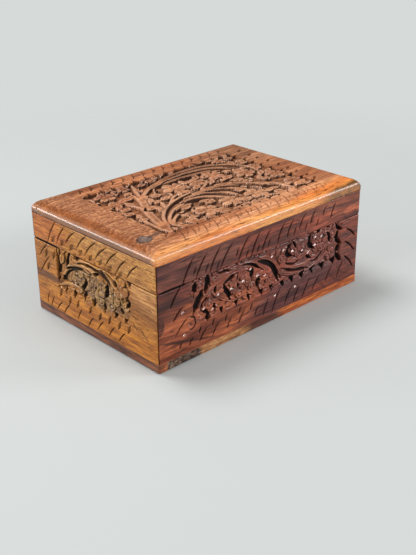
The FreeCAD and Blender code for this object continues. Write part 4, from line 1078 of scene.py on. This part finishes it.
# The plain boards and the hardware keep their own shapes and get their finishes.
finishes = {"bottom_board": bottomWood, "base_back_wall": frontWood, "lid_back_rail": frontWood}
for name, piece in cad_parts.items():
    finish = finishes.get(name)
    if "_hinge_" in name:
        finish = pinBrass if name.endswith("_pin") else screwBrass if name.endswith("_screws") else leafBrass
    if finish:
        piece.data.materials.clear()
        piece.data.materials.append(finish)
print("boards and hardware finished")

# Floor, soft light and the camera that the photograph was taken from.
studio = {
    "background": paint(214, 218, 217), "world": 0.37, "floor": paint(190, 194, 193), "floorSize": 2.0,
    "fade": (0.14, 0.5), "aim": Vector((0, 0, 0.03)),
    # name, place, sides and power of each lamp; the two long ones draw the bright lines on the lid's edges
    "lamps": [
        ("softTop", (-0.15, 0.42, 0.95), (0.5, 0.5), 7.0),
        ("softBack", (-0.75, 0.8, 0.17), (0.36, 0.12), 3.6),
        ("softLeft", (-0.95, 0.0, 0.4), (0.45, 0.45), 3.0),
        ("softFront", (0.15, -1.0, 0.5), (0.45, 0.45), 3.6),
        ("softRight", (0.74, -0.7, 0.43), (0.46, 0.15), 4.6),
    ],
}
# the floor fades into the plain backdrop away from the box
bm = bmesh.new()
bmesh.ops.create_grid(bm, x_segments=1, y_segments=1, size=studio["floorSize"])
floorMesh = bpy.data.meshes.new("floor")
bm.to_mesh(floorMesh)
bm.free()
floor = bpy.data.objects.new("floor", floorMesh)
bpy.context.scene.collection.objects.link(floor)
floorMat = bpy.data.materials.new("paleFloor")
tree = emptyTree(floorMat)
matt = node(tree, "BsdfPrincipled", Roughness=0.8)
matt.inputs["Base Color"].default_value = studio["floor"]
far = node(tree, "VectorMath", operation="LENGTH")
tree.links.new(node(tree, "TexCoord").outputs["Object"], far.inputs[0])
mixed = node(tree, "MixShader")
tree.links.new(ranged(tree, far.outputs["Value"], *studio["fade"]), mixed.inputs[0])
tree.links.new(matt.outputs[0], mixed.inputs[1])
tree.links.new(node(tree, "BsdfTransparent").outputs[0], mixed.inputs[2])
toOutput(tree, mixed)
floorMesh.materials.append(floorMat)

world = bpy.data.worlds.new("paleRoom")
bpy.context.scene.world = world
tree = emptyTree(world)
lit = node(tree, "Background", Color=(1, 1, 1, 1), Strength=studio["world"])
shown = node(tree, "Background", Color=studio["background"], Strength=1.0)
mixed = node(tree, "MixShader")
tree.links.new(node(tree, "LightPath").outputs["Is Camera Ray"], mixed.inputs[0])
tree.links.new(lit.outputs[0], mixed.inputs[1])
tree.links.new(shown.outputs[0], mixed.inputs[2])
toOutput(tree, mixed, "OutputWorld")

for name, place, sides, power in studio["lamps"]:
    data = bpy.data.lights.new(name, "AREA")
    data.shape = "DISK" if sides[0] == sides[1] else "RECTANGLE"
    data.size, data.size_y = sides
    data.energy = power
    lamp = bpy.data.objects.new(name, data)
    lamp.location = place
    lamp.rotation_euler = (studio["aim"] - Vector(place)).to_track_quat("-Z", "Y").to_euler()
    bpy.context.scene.collection.objects.link(lamp)

camera = {
    "place": (-0.3177, -0.3422, 0.2286), "yaw": 0.75607, "pitch": 0.43709, "roll": -0.00893,
    "lens": 58.72, "near": 0.01,
}
data = bpy.data.cameras.new("camera")
data.lens = camera["lens"]
data.clip_start = camera["near"]
eye = bpy.data.objects.new("camera", data)
bpy.context.scene.collection.objects.link(eye)
yaw, pitch, roll = camera["yaw"], camera["pitch"], camera["roll"]
ahead = Vector((math.cos(pitch) * math.sin(yaw), math.cos(pitch) * math.cos(yaw), -math.sin(pitch)))
level = Vector((math.cos(yaw), -math.sin(yaw), 0))
upright = level.cross(ahead)
right = level * math.cos(roll) + upright * math.sin(roll)
upward = upright * math.cos(roll) - level * math.sin(roll)
eye.matrix_world = Matrix((right, upward, -ahead)).transposed().to_4x4()
eye.location = camera["place"]
bpy.context.scene.camera = eye
bpy.context.scene.view_settings.view_transform = "Standard"
print("studio set")
